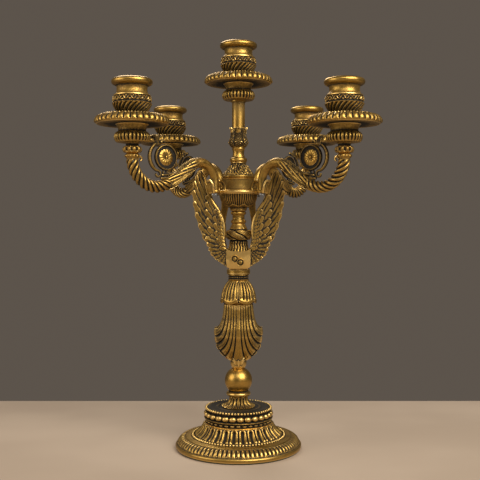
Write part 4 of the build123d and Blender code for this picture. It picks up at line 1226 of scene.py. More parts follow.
def scroll_casting(size):
    """Medallion, crest scroll and leafy branch lying in the plane of +X."""
    cx, cz = size["medal_x"], size["medal_z"]
    thick = 1.9
    scroll = Casting()
    ring = arc_path((cx, cz), 11.7, 0, 360, 73)[:-1]
    closed_ring(scroll, ring, 1.25, 2.1)
    disc(scroll, (cx, cz), 11.2, 0.75)
    # crest: a C scroll outside the medallion, its upper end a pointed leaf, its lower end curled under
    crest = arc_path((cx + 4.4, cz), 14.6, -62, 66, 46)
    curl_low = (cx + 9.6, cz - 16.6)
    low = curl_low + np.stack([np.cos(t := np.linspace(1.5, 6.9, 26)), np.sin(t)],
                              axis=1) * np.linspace(3.6, 1.5, 26)[:, None]
    lower = np.concatenate([low[::-1], crest])
    lower, _ = resample(lower, 92)
    grow = np.interp(np.linspace(0, 1, 92), [0, 0.3, 0.5, 0.7, 0.92, 1], [1.2, 1.5, 1.8, 1.8, 1.5, 1.0])
    scroll.tube(flat_path(lower), grow, (0, 1, 0), 12, thick / 2.0)
    lip = arc_path((cx + 4.4, cz), 12.8, -50, 58, 40)
    scroll.tube(flat_path(lip), 0.6, (0, 1, 0), 8, 1.6)
    tip = chain([(cx + 9.2, cz + 12.4), (cx + 9.8, cz + 15.6), (cx + 11.6, cz + 18.4),
                 (cx + 14.4, cz + 19.2), (cx + 15.6, cz + 17.2)], 18)
    scroll.blade(flat_path(tip), np.interp(np.linspace(0, 1, 18), [0, 0.3, 0.7, 1], [2.6, 3.0, 1.8, 0.5]),
                 1.1, (0, 1, 0), 1.3, 8, 0.4)
    back = chain([(cx + 6.2, cz + 13.2), (cx + 4.6, cz + 15.4), (cx + 2.0, cz + 15.8),
                  (cx + 1.6, cz + 13.8)], 14)
    scroll.tube(flat_path(back), np.linspace(1.7, 1.0, 14), (0, 1, 0), 10)
    # link from the medallion down to the branch, with a small eye
    link = (cx + 1.6, cz - 14.0)
    t = np.linspace(2.0, 7.6, 22)
    eye = link + np.stack([np.cos(t), np.sin(t)], axis=1) * np.linspace(2.9, 1.5, 22)[:, None]
    scroll.tube(flat_path(eye), np.linspace(1.5, 1.0, 22), (0, 1, 0), 10)
    # branch: two strands sweeping from the crest's lower curl up to the arm's sheath
    upper = chain([(cx + 6.0, cz - 17.6), (cx - 2.0, cz - 16.4), (cx - 11.0, cz - 15.0),
                   (cx - 20.0, cz - 11.4), (cx - 27.0, cz - 6.6)], 40)
    under = chain([(cx + 7.0, cz - 20.4), (cx - 2.0, cz - 19.8), (cx - 11.0, cz - 18.4),
                   (cx - 19.0, cz - 15.0), (cx - 26.0, cz - 10.0)], 40)
    scroll.tube(flat_path(upper), np.linspace(1.5, 1.25, 40), (0, 1, 0), 10)
    scroll.tube(flat_path(under), np.linspace(1.5, 1.2, 40), (0, 1, 0), 10)
    return scroll.object("scroll")


def closed_ring(casting, line, across, deep, sides=12):
    """A ring of oval section along a closed flat line."""
    count = len(line)
    middle = line.mean(axis=0)
    out = line - middle
    out /= np.linalg.norm(out, axis=1, keepdims=True)
    turns = np.linspace(0, math.tau, sides, endpoint=False)
    base = len(casting.points)
    for p, o in zip(line, out):
        for t in turns:
            x, z = p + o * across * math.cos(t)
            casting.points.append(np.array((x, deep * math.sin(t), z)))
    for i in range(count):
        for j in range(sides):
            a, b = base + i * sides, base + ((i + 1) % count) * sides
            k = (j + 1) % sides
            casting.faces.append((a + j, a + k, b + k, b + j))


def disc(casting, middle, radius, half, rings=10, sides=64):
    """A thin round web with a grainy recess on both faces."""
    cx, cz = middle
    for face in (-1, 1):
        base = len(casting.points)
        casting.points.append(np.array((cx, face * half, cz)))
        for i in range(1, rings + 1):
            r = radius * i / rings
            for j in range(sides):
                t = math.tau * j / sides
                grain = 0.12 * math.sin(37.0 * i + 11.3 * j) * (i < rings)
                casting.points.append(np.array((cx + r * math.cos(t), face * (half + grain),
                                                cz + r * math.sin(t))))
        for j in range(sides):
            k = (j + 1) % sides
            trio = (base, base + 1 + j, base + 1 + k)
            casting.faces.append(trio[::face])
            for i in range(rings - 1):
                a, b = base + 1 + i * sides, base + 1 + (i + 1) * sides
                casting.faces.append((a + j, b + j, b + k, a + k)[::face])


# ---- winged bracket ----
WING_OUTER = ((12.0, 190.5), (19.0, 194.6), (28.0, 203.0), (31.6, 214.0), (35.8, 220.0), (40.8, 233.0),
              (44.0, 243.0),
              (46.0, 256.0), (47.0, 267.0), (46.0, 276.0), (39.6, 290.0))
WING_INNER = ((8.0, 205.5), (12.6, 208.5), (14.8, 216.0), (14.5, 225.0), (15.4, 236.5), (19.6, 247.0),
              (26.6, 258.0),
              (30.8, 268.0), (34.5, 281.6), (39.2, 289.8))


def wing_feathers(casting, side, face, lift, base, plain):
    """Feathers of one wing: lift is the plate's outer face in Y, and face the way that it looks."""

    def lay(points, widths, height, **style):
        curve = chain(points, 18)
        path = np.stack([side * curve[:, 0], np.full(18, lift + face * height), curve[:, 1] + base], axis=1)
        spread = np.interp(np.linspace(0, 1, 18), np.linspace(0, 1, len(widths)), widths)
        spread = spread * np.sqrt(np.clip((1.06 - np.linspace(0, 1, 18)) / 0.14, 0, 1))
        casting.blade(path, spread, 0.42, (0, face, 0), 1.0, **style)

    barb = 0.0 if plain else 0.26
    # long primaries, from the lowest and outermost to the one that makes the tip
    long_ones = (
        ((24.0, 214), (31.0, 219), (36.2, 224.0)),
        ((24.5, 218), (32.0, 225), (40.0, 235.0)),
        ((24.5, 222), (33.5, 232), (43.4, 246.0)),
        ((24.5, 226), (34.5, 239), (45.4, 257.5)),
        ((25.0, 230), (35.0, 246), (46.4, 269.0)),
        ((25.5, 234), (34.6, 252), (45.2, 278.5)),
        ((26.0, 239), (34.2, 258), (42.6, 285.0)),
        ((26.5, 246), (33.4, 264), (39.7, 289.6)),
    )
    for k, points in enumerate(long_ones):
        lay(points, (2.4, 3.3, 4.0, 4.0, 3.0), 0.1 + 0.11 * k, cells=10, groove=0.3, barbs=barb)
    # short fan at the foot of the wing, turning outwards and down
    fan = (
        ((11.0, 203), (11.6, 197), (12.6, 190.8)),
        ((12.0, 204), (14.6, 198), (17.0, 193.4)),
        ((13.0, 205), (17.6, 200), (21.0, 196.4)),
        ((13.6, 206.5), (20.0, 202), (25.0, 199.6)),
        ((14.2, 208), (22.0, 204.6), (28.6, 204.4)),
        ((14.6, 210), (23.0, 208), (30.6, 209.6)),
        ((15.0, 212), (24.0, 212), (32.4, 214.6)),
        ((15.2, 214.5), (24.6, 216), (34.4, 219.6)),
    )
    for k, points in enumerate(fan):
        lay(points, (1.6, 2.4, 3.1, 3.4, 3.0), 0.2 + 0.11 * k, cells=8, groove=0.3, barbs=barb)
    if plain:
        blade = chain([(14.6, 235.0), (15.6, 244.0), (14.4, 253.0), (14.0, 264.0)], 18)
        path = np.stack([side * blade[:, 0], np.full(18, lift - face * 0.4), blade[:, 1] + base], axis=1)
        casting.blade(path, np.interp(np.linspace(0, 1, 18), [0, 0.3, 1], [0.8, 3.2, 4.6]), 0.9,
                      (0, face, 0), 1.2)
        return
    # middle row of broad feathers with round tips, lying over the roots of the long ones
    broad = (
        ((16.0, 214), (22.4, 219), (28.6, 223.0)),
        ((16.4, 218), (23.4, 225), (30.8, 231.0)),
        ((16.8, 222), (24.4, 231), (32.8, 240.0)),
        ((17.2, 227), (25.0, 238), (33.8, 249.0)),
        ((17.8, 232), (25.4, 244), (33.2, 257.0)),
        ((19.6, 238), (26.0, 250), (31.6, 264.5)),
    )
    for k, points in enumerate(broad):
        lay(points, (2.4, 3.1, 3.8, 4.0, 3.4), 0.8 + 0.11 * k, cells=10, groove=0.25, barbs=0.15)
    inner = (
        ((14.8, 212), (18.6, 216), (22.4, 219.0)),
        ((15.2, 217), (19.4, 222), (23.6, 227.0)),
        ((15.4, 222), (19.8, 228), (24.4, 235.0)),
        ((15.8, 227), (20.0, 234), (24.6, 242.5)),
        ((16.6, 232), (20.2, 240), (24.0, 249.5)),
    )
    for k, points in enumerate(inner):
        lay(points, (1.7, 2.2, 2.7, 2.9, 2.5), 1.5 + 0.1 * k, cells=8, groove=0.2, barbs=0.1)
    # scale coverts beside the smooth leading edge
    for row in range(2):
        for k in range(11):
            t = (k + 0.5 * row) / 10.5
            x = np.interp(208 + 38 * t, [205, 225, 236.5, 247], [13.4, 16.4, 17.2, 21.0]) + 1.9 * row
            z = 208 + 38 * t - 1.0 * row
            slope = math.radians(34 + 38 * t)
            end = (x + 3.8 * math.cos(slope), z + 3.8 * math.sin(slope))
            middle = ((x + end[0]) / 2, (z + end[1]) / 2)
            lay(((x, z), middle, end), (1.2, 1.7, 2.0, 2.0, 1.6), 2.2 - 0.3 * row, cells=6, groove=0.1)


def bracket_casting(size, face):
    """Winged bracket: a screwed middle plate, the smooth leading edge and the feathers of both wings."""
    bracket = Casting()
    base = size["low"] - PLATE_FOOT
    back = size["inner"]
    # middle plate
    plate = ((8.6, 188.2), (12.2, 189.6), (12.8, 196), (12.8, 204), (13.2, 209.4), (11.4, 208.2),
             (8.6, 206.6), (0.0, 206.0))
    web(bracket, mirrored(plate), back, face, 2.5, base)
    for side in (-1, 1):
        outer = chain(WING_OUTER, 44)
        inner = chain(WING_INNER, 44)
        strip(bracket, outer + (0.2, 0), inner, side, back, face, 1.5, base)
        wing_feathers(bracket, side, face, back + face * 1.3, base, face > 0)
        edge = chain(WING_INNER[1:], 60)
        path = np.stack([side * (edge[:, 0] + 0.9), np.full(60, back + face * 2.0), edge[:, 1] + base],
                        axis=1)
        bracket.tube(path, np.interp(np.linspace(0, 1, 60), [0, 0.25, 0.8, 1], [1.9, 2.3, 1.8, 0.8]),
                     (0, 1, 0), 12, 0.72)
    return bracket.object("bracket")


def mirrored(half):
    left = [(-x, z) for x, z in half[::-1] if x > 0]
    return list(half) + left


def web(casting, outline, back, face, thick, base):
    """A flat plate from an outline of (x, z) with a softened rim."""
    outline = np.asarray(outline, float)
    middle = outline.mean(axis=0)
    rows = ((1.0, 0.0), (1.0, thick - 0.5), (0.965, thick), (0.0, thick))
    rings = []
    for share, rise in rows:
        start = len(casting.points)
        for p in outline:
            x, z = middle + (p - middle) * share
            casting.points.append(np.array((x, back + face * rise, z + base)))
        rings.append(start)
    count = len(outline)
    for a, b in zip(rings, rings[1:]):
        for j in range(count):
            k = (j + 1) % count
            casting.faces.append((a + j, a + k, b + k, b + j))
    casting.points.append(np.array((middle[0], back, middle[1] + base)))
    hub = len(casting.points) - 1
    for j in range(count):
        casting.faces.append((hub, rings[0] + (j + 1) % count, rings[0] + j))


def strip(casting, one, other, side, back, face, thick, base):
    """Thin plate between two curves that runs under the feathers."""
    count, cells = len(one), 6
    start = len(casting.points)
    for level in (0.0, thick):
        for i in range(count):
            for j in range(cells + 1):
                x, z = one[i] + (other[i] - one[i]) * j / cells
                casting.points.append(np.array((side * x, back + face * level, z + base)))
    layer = count * (cells + 1)

    def at(level, i, j):
        return start + level * layer + i * (cells + 1) + j

    for i in range(count - 1):
        for j in range(cells):
            casting.faces.append((at(0, i, j), at(0, i, j + 1), at(0, i + 1, j + 1), at(0, i + 1, j)))
            casting.faces.append((at(1, i, j), at(1, i + 1, j), at(1, i + 1, j + 1), at(1, i, j + 1)))
        for j in (0, cells):
            casting.faces.append((at(0, i, j), at(0, i + 1, j), at(1, i + 1, j), at(1, i, j)))
    for i in (0, count - 1):
        for j in range(cells):
            casting.faces.append((at(0, i, j), at(1, i, j), at(1, i, j + 1), at(0, i, j + 1)))


def islands(obj):
    """Points of each separate piece of an object's mesh."""
    co = read_points(obj)
    links = [[] for _ in co]
    for edge in obj.data.edges:
        a, b = edge.vertices
        links[a].append(b)
        links[b].append(a)
    seen, groups = np.zeros(len(co), bool), []
    for first in range(len(co)):
        if seen[first]:
            continue
        group, queue = [], [first]
        seen[first] = True
        while queue:
            here = queue.pop()
            group.append(here)
            for other in links[here]:
                if not seen[other]:
                    seen[other] = True
                    queue.append(other)
        groups.append(co[group])
    return groups


def screw_casting():
    """Round-headed screws of the wings: a domed head inside a raised ring, at the CAD screws' own places."""
    heads = islands(frame["nodes"]["wing_screws"])
    merged = {}
    for points in heads:
        centre = (points.min(axis=0) + points.max(axis=0)) / 2
        face = -1 if centre[1] < 0 else 1
        key = (face, round(centre[0]), round(centre[2]))
        merged.setdefault(key, []).append(points)
    screws = Casting()
    for (face, _, _), groups in sorted(merged.items()):
        points = np.concatenate(groups)
        low, high = points.min(axis=0), points.max(axis=0)
        x, z = (low[0] + high[0]) / 2, (low[2] + high[2]) / 2
        outer = low[1] if face < 0 else high[1]
        inner = high[1] if face < 0 else low[1]
        profile = ((3.9, 1.3), (3.9, -0.5), (3.5, -0.9), (3.1, -0.8), (2.75, 0.3), (2.4, -0.5), (1.6, -0.9),
                   (0.8, -1.0))
        rings = [(3.0, abs(outer - inner))] + list(profile)
        start, sides = len(screws.points), 40
        for r, deep in rings:
            for j in range(sides):
                t = math.tau * j / sides
                screws.points.append(np.array((x + r * math.cos(t), outer - face * deep,
                                               z + r * math.sin(t))))
        for i in range(len(rings) - 1):
            for j in range(sides):
                k = (j + 1) % sides
                a, b = start + i * sides, start + (i + 1) * sides
                screws.faces.append((a + j, a + k, b + k, b + j))
        for row, deep in ((0, rings[0][1]), (len(rings) - 1, -1.05)):
            screws.points.append(np.array((x, outer - face * deep, z)))
            hub = len(screws.points) - 1
            for j in range(sides):
                a = start + row * sides
                screws.faces.append((hub, a + j, a + (j + 1) % sides))
    return screws.object("wing_screw_heads")


def wing_block_casting(size):
    """Plain block between the wings on its round seat."""
    tall = size["high"] - size["low"]
    seat = turn("block_seat", trace((BORE, 0), (12.2, 0), (12.2, 5.2), (BORE, 5.2), (BORE, 0), gap=1.5), 64)
    deselect_all()
    bpy.ops.mesh.primitive_cube_add(
        size=1, location=(0, 0, (tall + 5.3) / 2 * MM), scale=(19.8 * MM, 25.8 * MM, (tall - 5.3) * MM)
    )
    block = bpy.context.active_object
    bpy.ops.object.transform_apply(location=True, rotation=False, scale=True)
    soften(block, 0.8)
    return join([seat, block], "block")


def soften(obj, width, segments=3):
    """Round an object's edges by width mm."""
    deselect_all()
    obj.select_set(True)
    bpy.context.view_layer.objects.active = obj
    bevel = obj.modifiers.new("soft_edges", "BEVEL")
    bevel.width, bevel.segments = width * MM, segments
    bpy.ops.object.modifier_apply(modifier=bevel.name)


def hub_plate_casting(size):
    """Round plate with a lug under each arm's foot."""
    tall = size["high"] - size["low"]
    plate = turn(
        "hub_plate",
        trace((BORE, 0), (23.2, 0), (24, 0.8), (24, tall - 0.8), (23.2, tall), (BORE, tall), (BORE, 0),
              gap=1.2),
        96,
    )
    parts = [plate]
    lug = turn("lug", trace((0.001, 0.05), (4.8, 0.05), (5.5, 0.7), (5.5, tall - 0.7), (4.8, tall - 0.05),
                            (0.001, tall - 0.05), (0.001, 0.05), gap=0.8), 40)
    leg = sizes().leg_reach
    for name in ARMS:
        angle = arm_turn(name)[0]
        copy = lug.copy()
        copy.data = lug.data.copy()
        bpy.context.scene.collection.objects.link(copy)
        copy.data.transform(Matrix.Translation((leg * math.cos(angle), leg * math.sin(angle), 0)))
        parts.append(copy)
    discard(lug)
    return join(parts, "hub_plate")


def rosettes_casting(size, details):
    """Medallion flowers, one on each face of every medallion."""
    flower = Casting()
    count = details.rosette_petals
    for i in range(count):
        spot = math.tau * i / count
        radii = np.array((1.4, 2.8, 4.9, 6.8, 7.8))
        path = np.stack(
            [radii * math.cos(spot), -np.array((0.9, 1.4, 1.6, 1.3, 0.7)), radii * math.sin(spot)], axis=1
        )
        flower.blade(path, np.array((0.5, 1.1, 1.8, 2.1, 1.6)), 0.35, (0, -1, 0), 0.5, cells=6, groove=0.15)
    flower.ball((0, -1.5, 0), (1.7, 1.1, 1.7), 6, 12)
    model = flower.object("flower")
    record_shade_and_wear(model, 3.0, 4)
    copies = []
    for name in ARMS:
        for half in (0, math.pi):
            copy = model.copy()
            copy.data = model.data.copy()
            bpy.context.scene.collection.objects.link(copy)
            spin = Matrix.Rotation(arm_turn(name)[0], 4, "Z")
            out = Matrix.Translation((size["medal_x"] * MM, 0, size["medal_z"] * MM))
            copy.data.transform(spin @ out @ Matrix.Rotation(half, 4, "Z"))
            copies.append(copy)
    discard(model)
    return join(copies, "rosettes")


def foot_leaves_casting(size):
    """Pierced leaf scrolls that brace each leg against the drum."""
    foot, seat = size["foot"], size["seat"]
    leaf = Casting()
    brace = chain(
        [(foot - 4.0, seat + 12.6), (foot - 7.6, seat + 13.2), (foot - 11.8, seat + 10.4),
         (foot - 13.6, seat + 5.6),
         (foot - 12.4, seat + 1.6), (foot - 8.6, seat + 0.9), (foot - 5.6, seat + 2.6),
         (foot - 6.0, seat + 5.4)],
        40,
    )
    leaf.tube(flat_path(brace), 1.35 + 0.3 * np.cos(np.linspace(0, 9, 40)), (0, 1, 0), 10)
    inner = chain([(foot - 4.4, seat + 10.6), (foot - 7.6, seat + 9.6), (foot - 9.2, seat + 6.4),
                   (foot - 8.0, seat + 5.0)], 20)
    leaf.tube(flat_path(inner), np.linspace(1.3, 0.8, 20), (0, 1, 0), 10)
    model = leaf.object("foot_leaf")
    copies = [moved_copy(model, f"foot_leaf_{name}", angle=arm_turn(name)[0]) for name in ARMS]
    discard(model)
    return join(copies, "foot_leaves")


# ---- sizes and looks that the operators read ----
class CandelabraSizes(bpy.types.PropertyGroup):
    """Details that the frame doesn't fix."""

    leg_reach: bpy.props.FloatProperty(
        name="Leg reach", description="From the column to an arm's leg", default=0.0317, min=0.028,
        max=0.034, unit="LENGTH"
    )
    medallion_reach: bpy.props.FloatProperty(
        name="Medallion reach", description="From the column to a medallion", default=0.0924, min=0.09,
        max=0.095, unit="LENGTH"
    )
    medallion_rise: bpy.props.FloatProperty(
        name="Medallion rise", description="Medallion above the hub plate", default=0.0334, min=0.031,
        max=0.035, unit="LENGTH"
    )
    pan_lobes: bpy.props.IntProperty(
        name="Pan lobes", description="Lobes round a drip pan's border", default=36, min=16, max=40
    )
    pan_beads: bpy.props.IntProperty(
        name="Pan beads", description="Beads inside a drip pan's border", default=60, min=40, max=80
    )
    cup_flutes: bpy.props.IntProperty(
        name="Cup flutes", description="Spiral flutes round a candle cup", default=24, min=18, max=40
    )
    bowl_reeds: bpy.props.IntProperty(
        name="Bowl reeds", description="Reeds round the hub bowl", default=48, min=36, max=72
    )
    foot_flutes: bpy.props.IntProperty(
        name="Foot flutes", description="Arched flutes round the foot", default=28, min=20, max=36
    )
    foot_tongues: bpy.props.IntProperty(
        name="Foot tongues", description="Tongues round the foot's border", default=84, min=48, max=96
    )
    large_beads: bpy.props.IntProperty(
        name="Large beads", description="Large beads round the plinth", default=27, min=20, max=36
    )
    small_beads: bpy.props.IntProperty(
        name="Small beads", description="Lower beads round the plinth", default=34, min=24, max=44
    )
    rosette_petals: bpy.props.IntProperty(
        name="Rosette petals", description="Petals of a medallion's flower", default=14, min=8, max=20
    )


class CandelabraLooks(bpy.types.PropertyGroup):
    """Colours of the finish, as sRGB hex."""

    gold_colour: bpy.props.StringProperty(
        name="Gold", description="Main tone of the gilding", default="#B4934D"
    )
    warm_colour: bpy.props.StringProperty(
        name="Warm gold", description="Redder clouds in the gilding", default="#AD843E"
    )
    shade_colour: bpy.props.StringProperty(
        name="Dull gold", description="Duller clouds in the gilding", default="#937A40"
    )
    ridge_colour: bpy.props.StringProperty(
        name="Rubbed ridge", description="Bright metal where handling has rubbed it", default="#E0C079"
    )
    # colour of the patina and of the painted shade in the hollows
    patina_and_shade_colour: bpy.props.StringProperty(
        name="Patina", description="Dark brown-black left in the hollows", default="#1A160F"
    )


def sizes():
    return bpy.context.scene.candelabra_sizes


def looks():
    return bpy.context.scene.candelabra_looks


def finishes(kind):
    """The shared material of one finish, made the first time it is asked for."""
    made = bpy.data.materials.get(kind)
    if made is None and kind in GILT:
        made = gilt_brass(kind, looks(), *GILT[kind])
    return made or {"zinc_plated_steel": zinc_steel, "pressed_wool_felt": wool_felt}[kind]()


def arm_size():
    return {
        "foot": sizes().leg_reach / MM,
        "reach": arm_turn("front_left")[1],
        "seat": measure("arm_front_left")["low"],
        "top": measure("bead_collar_front_left")["low"],
        "medal_x": sizes().medallion_reach / MM,
        "medal_z": measure("arm_front_left")["low"] + sizes().medallion_rise / MM,
    }


def column_piece(node, obj, kind, passes=8):
    """Lift a piece made from height 0 to its CAD node's seat and finish it."""
    low = measure(node)["low"]
    obj.data.transform(Matrix.Translation((0, 0, low * MM)))
    return finish_piece(obj, node, finishes(kind), passes)


def repeat_lights(model, prefix, names, kind, lift=0.0, passes=8):
    """Copy one light's piece to every light in names."""
    record_shade_and_wear(model, SHADE_AND_PATINA_REACH, passes)
    for name in names:
        node = f"{prefix}_{name}"
        place = measure(node)
        piece = moved_copy(model, node, place["x"], place["y"], place["low"] + lift, arm_turn(name)[0])
        finish_piece(piece, node, finishes(kind), passes)
    discard(model)


class CANDELABRA_OT_foot(bpy.types.Operator):
    """Build the round foot, the beaded plinth and the leaf collar on it."""

    bl_idname = "candelabra.foot"
    bl_label = "Foot, plinth and neck"
    bl_options = {"REGISTER", "UNDO"}

    def execute(self, context):
        column_piece("base_foot", foot_casting(measure("base_foot"), sizes()), "antique_gilt_brass",
                     6)
        plinth = plinth_casting(measure("base_plinth"), sizes())
        column_piece("base_plinth", plinth, "antique_gilt_brass")
        column_piece("base_neck", neck_casting(measure("base_neck")), "antique_gilt_brass")
        return {"FINISHED"}


class CANDELABRA_OT_stem(bpy.types.Operator):
    """Build the ball, the shell stem, the bell skirt and the beaded collar."""

    bl_idname = "candelabra.stem"
    bl_label = "Ball and shell stem"
    bl_options = {"REGISTER", "UNDO"}

    def execute(self, context):
        column_piece("ball_knop", ball_casting(measure("ball_knop")), "rubbed_gilt_brass")
        shell = shell_casting(measure("shell_stem"))

        def added_darkening(points, normals):
            """Painted shade: darker flanks, towards the tips of the flutes."""
            return 0.15 * smooth(np.abs(points[:, 0]), 9, 21)

        record_shade_and_wear(shell, SHADE_AND_PATINA_REACH, 8, added_darkening)
        column_piece("shell_stem", shell, "antique_gilt_brass")
        column_piece("bell_skirt", skirt_casting(measure("bell_skirt")), "antique_gilt_brass")
        collar = beaded_collar_casting(measure("beaded_collar"))
        column_piece("beaded_collar", collar, "antique_gilt_brass")
        return {"FINISHED"}


def plate_darkening(points, normals):
    """A little darker on the flat plate between the wings."""
    return 0.05 * (np.abs(points[:, 0]) < 11.5)


class CANDELABRA_OT_wings(bpy.types.Operator):
    """Build the wing block, both winged brackets and their screws."""

    bl_idname = "candelabra.wings"
    bl_label = "Winged brackets"
    bl_options = {"REGISTER", "UNDO"}

    def execute(self, context):
        column_piece("wing_block", wing_block_casting(measure("wing_block")), "rubbed_gilt_brass")
        for node, face in (("wing_bracket_front", -1), ("wing_bracket_back", 1)):
            size = measure(node)
            low, high = corners(node)
            size["inner"] = (high.y if face < 0 else low.y) / MM
            bracket = bracket_casting(size, face)
            record_shade_and_wear(bracket, SHADE_AND_PATINA_REACH, 5, plate_darkening)
            finish_piece(bracket, node, finishes("antique_gilt_brass"), 5)
        finish_piece(screw_casting(), "wing_screws", finishes("antique_gilt_brass"), 3)
        return {"FINISHED"}


class CANDELABRA_OT_column(bpy.types.Operator):
    """Build the knops, the bowl, the hub and the plain parts between them."""

    bl_idname = "candelabra.column"
    bl_label = "Column and hub"
    bl_options = {"REGISTER", "UNDO"}

    def execute(self, context):
        antique, rubbed = "antique_gilt_brass", "rubbed_gilt_brass"
        made = (
            ("leaf_knop_lower", lower_knop_casting, antique),
            ("ring_neck", ring_neck_casting, rubbed),
            ("hub_drum", drum_casting, rubbed),
            ("hub_cap", cap_casting, antique),
            ("upper_baluster", baluster_casting, rubbed),
            ("leaf_knop_upper", upper_knop_casting, antique),
            ("hub_plate", hub_plate_casting, rubbed),
        )
        for node, maker, kind in made:
            column_piece(node, maker(measure(node)), kind, 6)
        column_piece("center_tube", tube_casting(measure("center_tube")), rubbed)
        bowl = bowl_casting(measure("reeded_bowl"), sizes())
        column_piece("reeded_bowl", bowl, antique, 5)
        return {"FINISHED"}


class CANDELABRA_OT_arms(bpy.types.Operator):
    """Build the four arms, their medallion scrolls, flowers and leaf braces."""

    bl_idname = "candelabra.arms"
    bl_label = "Arms and scrolls"
    bl_options = {"REGISTER", "UNDO"}

    def execute(self, context):
        size = arm_size()
        arm, scroll = arm_casting(size), scroll_casting(size)
        record_shade_and_wear(arm, SHADE_AND_PATINA_REACH, 5)

        def added_darkening(points, normals):
            """Painted shade: black in the medallion's recess and on the side-facing edges of the scroll."""
            away = np.hypot(points[:, 0] - size["medal_x"], points[:, 2] - size["medal_z"])
            recess = (away < 10.9) * (np.abs(points[:, 1]) < 1.5)
            return 0.6 * recess + 0.2 * (1 - np.abs(normals[:, 1])) ** 1.5

        record_shade_and_wear(scroll, SHADE_AND_PATINA_REACH, 4, added_darkening)
        for name in ARMS:
            angle = arm_turn(name)[0]
            for model, prefix, kind in ((arm, "arm", "antique_gilt_brass"),
                                        (scroll, "scroll", "blackened_gilt_brass")):
                piece = moved_copy(model, f"{prefix}_{name}_cast", angle=angle)
                finish_piece(piece, f"{prefix}_{name}", finishes(kind), 5)
        discard(arm)
        discard(scroll)
        flowers = rosettes_casting(size, sizes())
        finish_piece(flowers, "rosettes", finishes("rubbed_gilt_brass"), 4)
        leaves = foot_leaves_casting(size)
        finish_piece(leaves, "foot_leaves", finishes("antique_gilt_brass"), 5)
        return {"FINISHED"}


class CANDELABRA_OT_lights(bpy.types.Operator):
    """Build the sockets, bead collars, drip pans and candle cups of all five lights."""

    bl_idname = "candelabra.lights"
    bl_label = "Sockets, pans and cups"
    bl_options = {"REGISTER", "UNDO"}

    def execute(self, context):
        antique = "antique_gilt_brass"
        repeat_lights(socket_casting(), "socket", LIGHTS, antique, passes=6)
        repeat_lights(bead_collar_casting(), "bead_collar", ARMS, antique, passes=6)
        pan_radius = measure("drip_pan_center")["radius"]
        repeat_lights(pan_casting(pan_radius, sizes()), "drip_pan", LIGHTS, antique, 6.0, 5)
        repeat_lights(cup_casting(sizes()), "candle_cup", LIGHTS, antique, 8.0, 5)
        return {"FINISHED"}


class CANDELABRA_OT_hardware(bpy.types.Operator):
    """Give the steel parts and the felt pad their finishes."""

    bl_idname = "candelabra.hardware"
    bl_label = "Steel and felt"
    bl_options = {"REGISTER", "UNDO"}

    def execute(self, context):
        for node in ("tie_rod", "base_nut", "base_washer", "rod_nut_top", "arm_screws", "socket_screws"):
            dress(node, "zinc_plated_steel")
        dress("felt_pad", "pressed_wool_felt")
        return {"FINISHED"}


def dress(node, kind):
    obj = frame["nodes"][node]
    obj.data.materials.clear()
    obj.data.materials.append(finishes(kind))


class CANDELABRA_OT_stage(bpy.types.Operator):
    """Set up the pale floor, the soft lights and the camera."""

    bl_idname = "candelabra.stage"
    bl_label = "Stage, lights and camera"
    bl_options = {"REGISTER", "UNDO"}

    def execute(self, context):
        board = plain_board("pale_board", "#A39588", "#AFA194")
        deselect_all()
        bpy.ops.mesh.primitive_plane_add(size=1, location=FLOOR_MIDDLE)
        floor = bpy.context.active_object
        floor.name = "floor"
        floor.scale = (*FLOOR_SPAN, 1)
        floor.data.materials.append(board)
        world = bpy.data.worlds.new("soft_room")
        bpy.context.scene.world = world
        world.use_nodes = True
        sky = world.node_tree.nodes["Background"]
        sky.inputs["Color"].default_value = linear(ROOM_COLOUR)
        sky.inputs["Strength"].default_value = ROOM_STRENGTH
        for softbox in SOFTBOXES:
            area_light(*softbox)
        place_camera()
        set_tone()
        return {"FINISHED"}


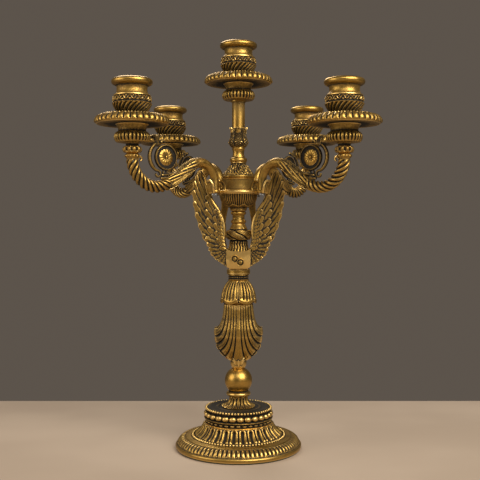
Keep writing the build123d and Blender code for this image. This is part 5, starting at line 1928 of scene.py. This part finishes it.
def area_light(name, place, size, power, hex_colour):
    light = bpy.data.lights.new(name, "AREA")
    light.shape = "SQUARE"
    light.size = size
    light.energy = power
    light.color = linear(hex_colour)[:3]
    obj = bpy.data.objects.new(name, light)
    obj.location = place
    target = Vector(LIT_POINT)
    obj.rotation_euler = (target - obj.location).to_track_quat("-Z", "Y").to_euler()
    bpy.context.scene.collection.objects.link(obj)


def set_tone():
    """Show the lit colours as they are, so that gold highlights stay gold."""
    bpy.context.scene.view_settings.view_transform = "Standard"


def place_camera():
    camera = bpy.data.cameras.new("view")
    camera.sensor_width = SENSOR_WIDTH
    camera.lens = LENS_LENGTH
    obj = bpy.data.objects.new("view", camera)
    obj.location = CAMERA_PLACE
    obj.rotation_euler = (math.radians(90 - CAMERA_DIP), 0, 0)
    bpy.context.scene.collection.objects.link(obj)
    bpy.context.scene.camera = obj


STEPS = (
    CANDELABRA_OT_hardware,
    CANDELABRA_OT_foot,
    CANDELABRA_OT_stem,
    CANDELABRA_OT_wings,
    CANDELABRA_OT_column,
    CANDELABRA_OT_arms,
    CANDELABRA_OT_lights,
    CANDELABRA_OT_stage,
)


class CANDELABRA_PT_panel(bpy.types.Panel):
    """Lists the steps that build the candelabra."""

    bl_idname = "CANDELABRA_PT_panel"
    bl_label = "Candelabra"
    bl_space_type = "VIEW_3D"
    bl_region_type = "UI"
    bl_category = "Candelabra"

    def draw(self, context):
        for step in STEPS:
            self.layout.operator(step.bl_idname)


CLASSES = (CandelabraSizes, CandelabraLooks, *STEPS, CANDELABRA_PT_panel)


def register():
    for cls in CLASSES:
        bpy.utils.register_class(cls)
    bpy.types.Scene.candelabra_sizes = bpy.props.PointerProperty(type=CandelabraSizes)
    bpy.types.Scene.candelabra_looks = bpy.props.PointerProperty(type=CandelabraLooks)


def unregister():
    del bpy.types.Scene.candelabra_looks
    del bpy.types.Scene.candelabra_sizes
    for cls in reversed(CLASSES):
        bpy.utils.unregister_class(cls)


def main():
    register()
    bpy.ops.candelabra.hardware()
    bpy.ops.candelabra.foot()
    bpy.ops.candelabra.stem()
    bpy.ops.candelabra.wings()
    bpy.ops.candelabra.column()
    bpy.ops.candelabra.arms()
    bpy.ops.candelabra.lights()
    bpy.ops.candelabra.stage()


if __name__ == "__main__":
    main()
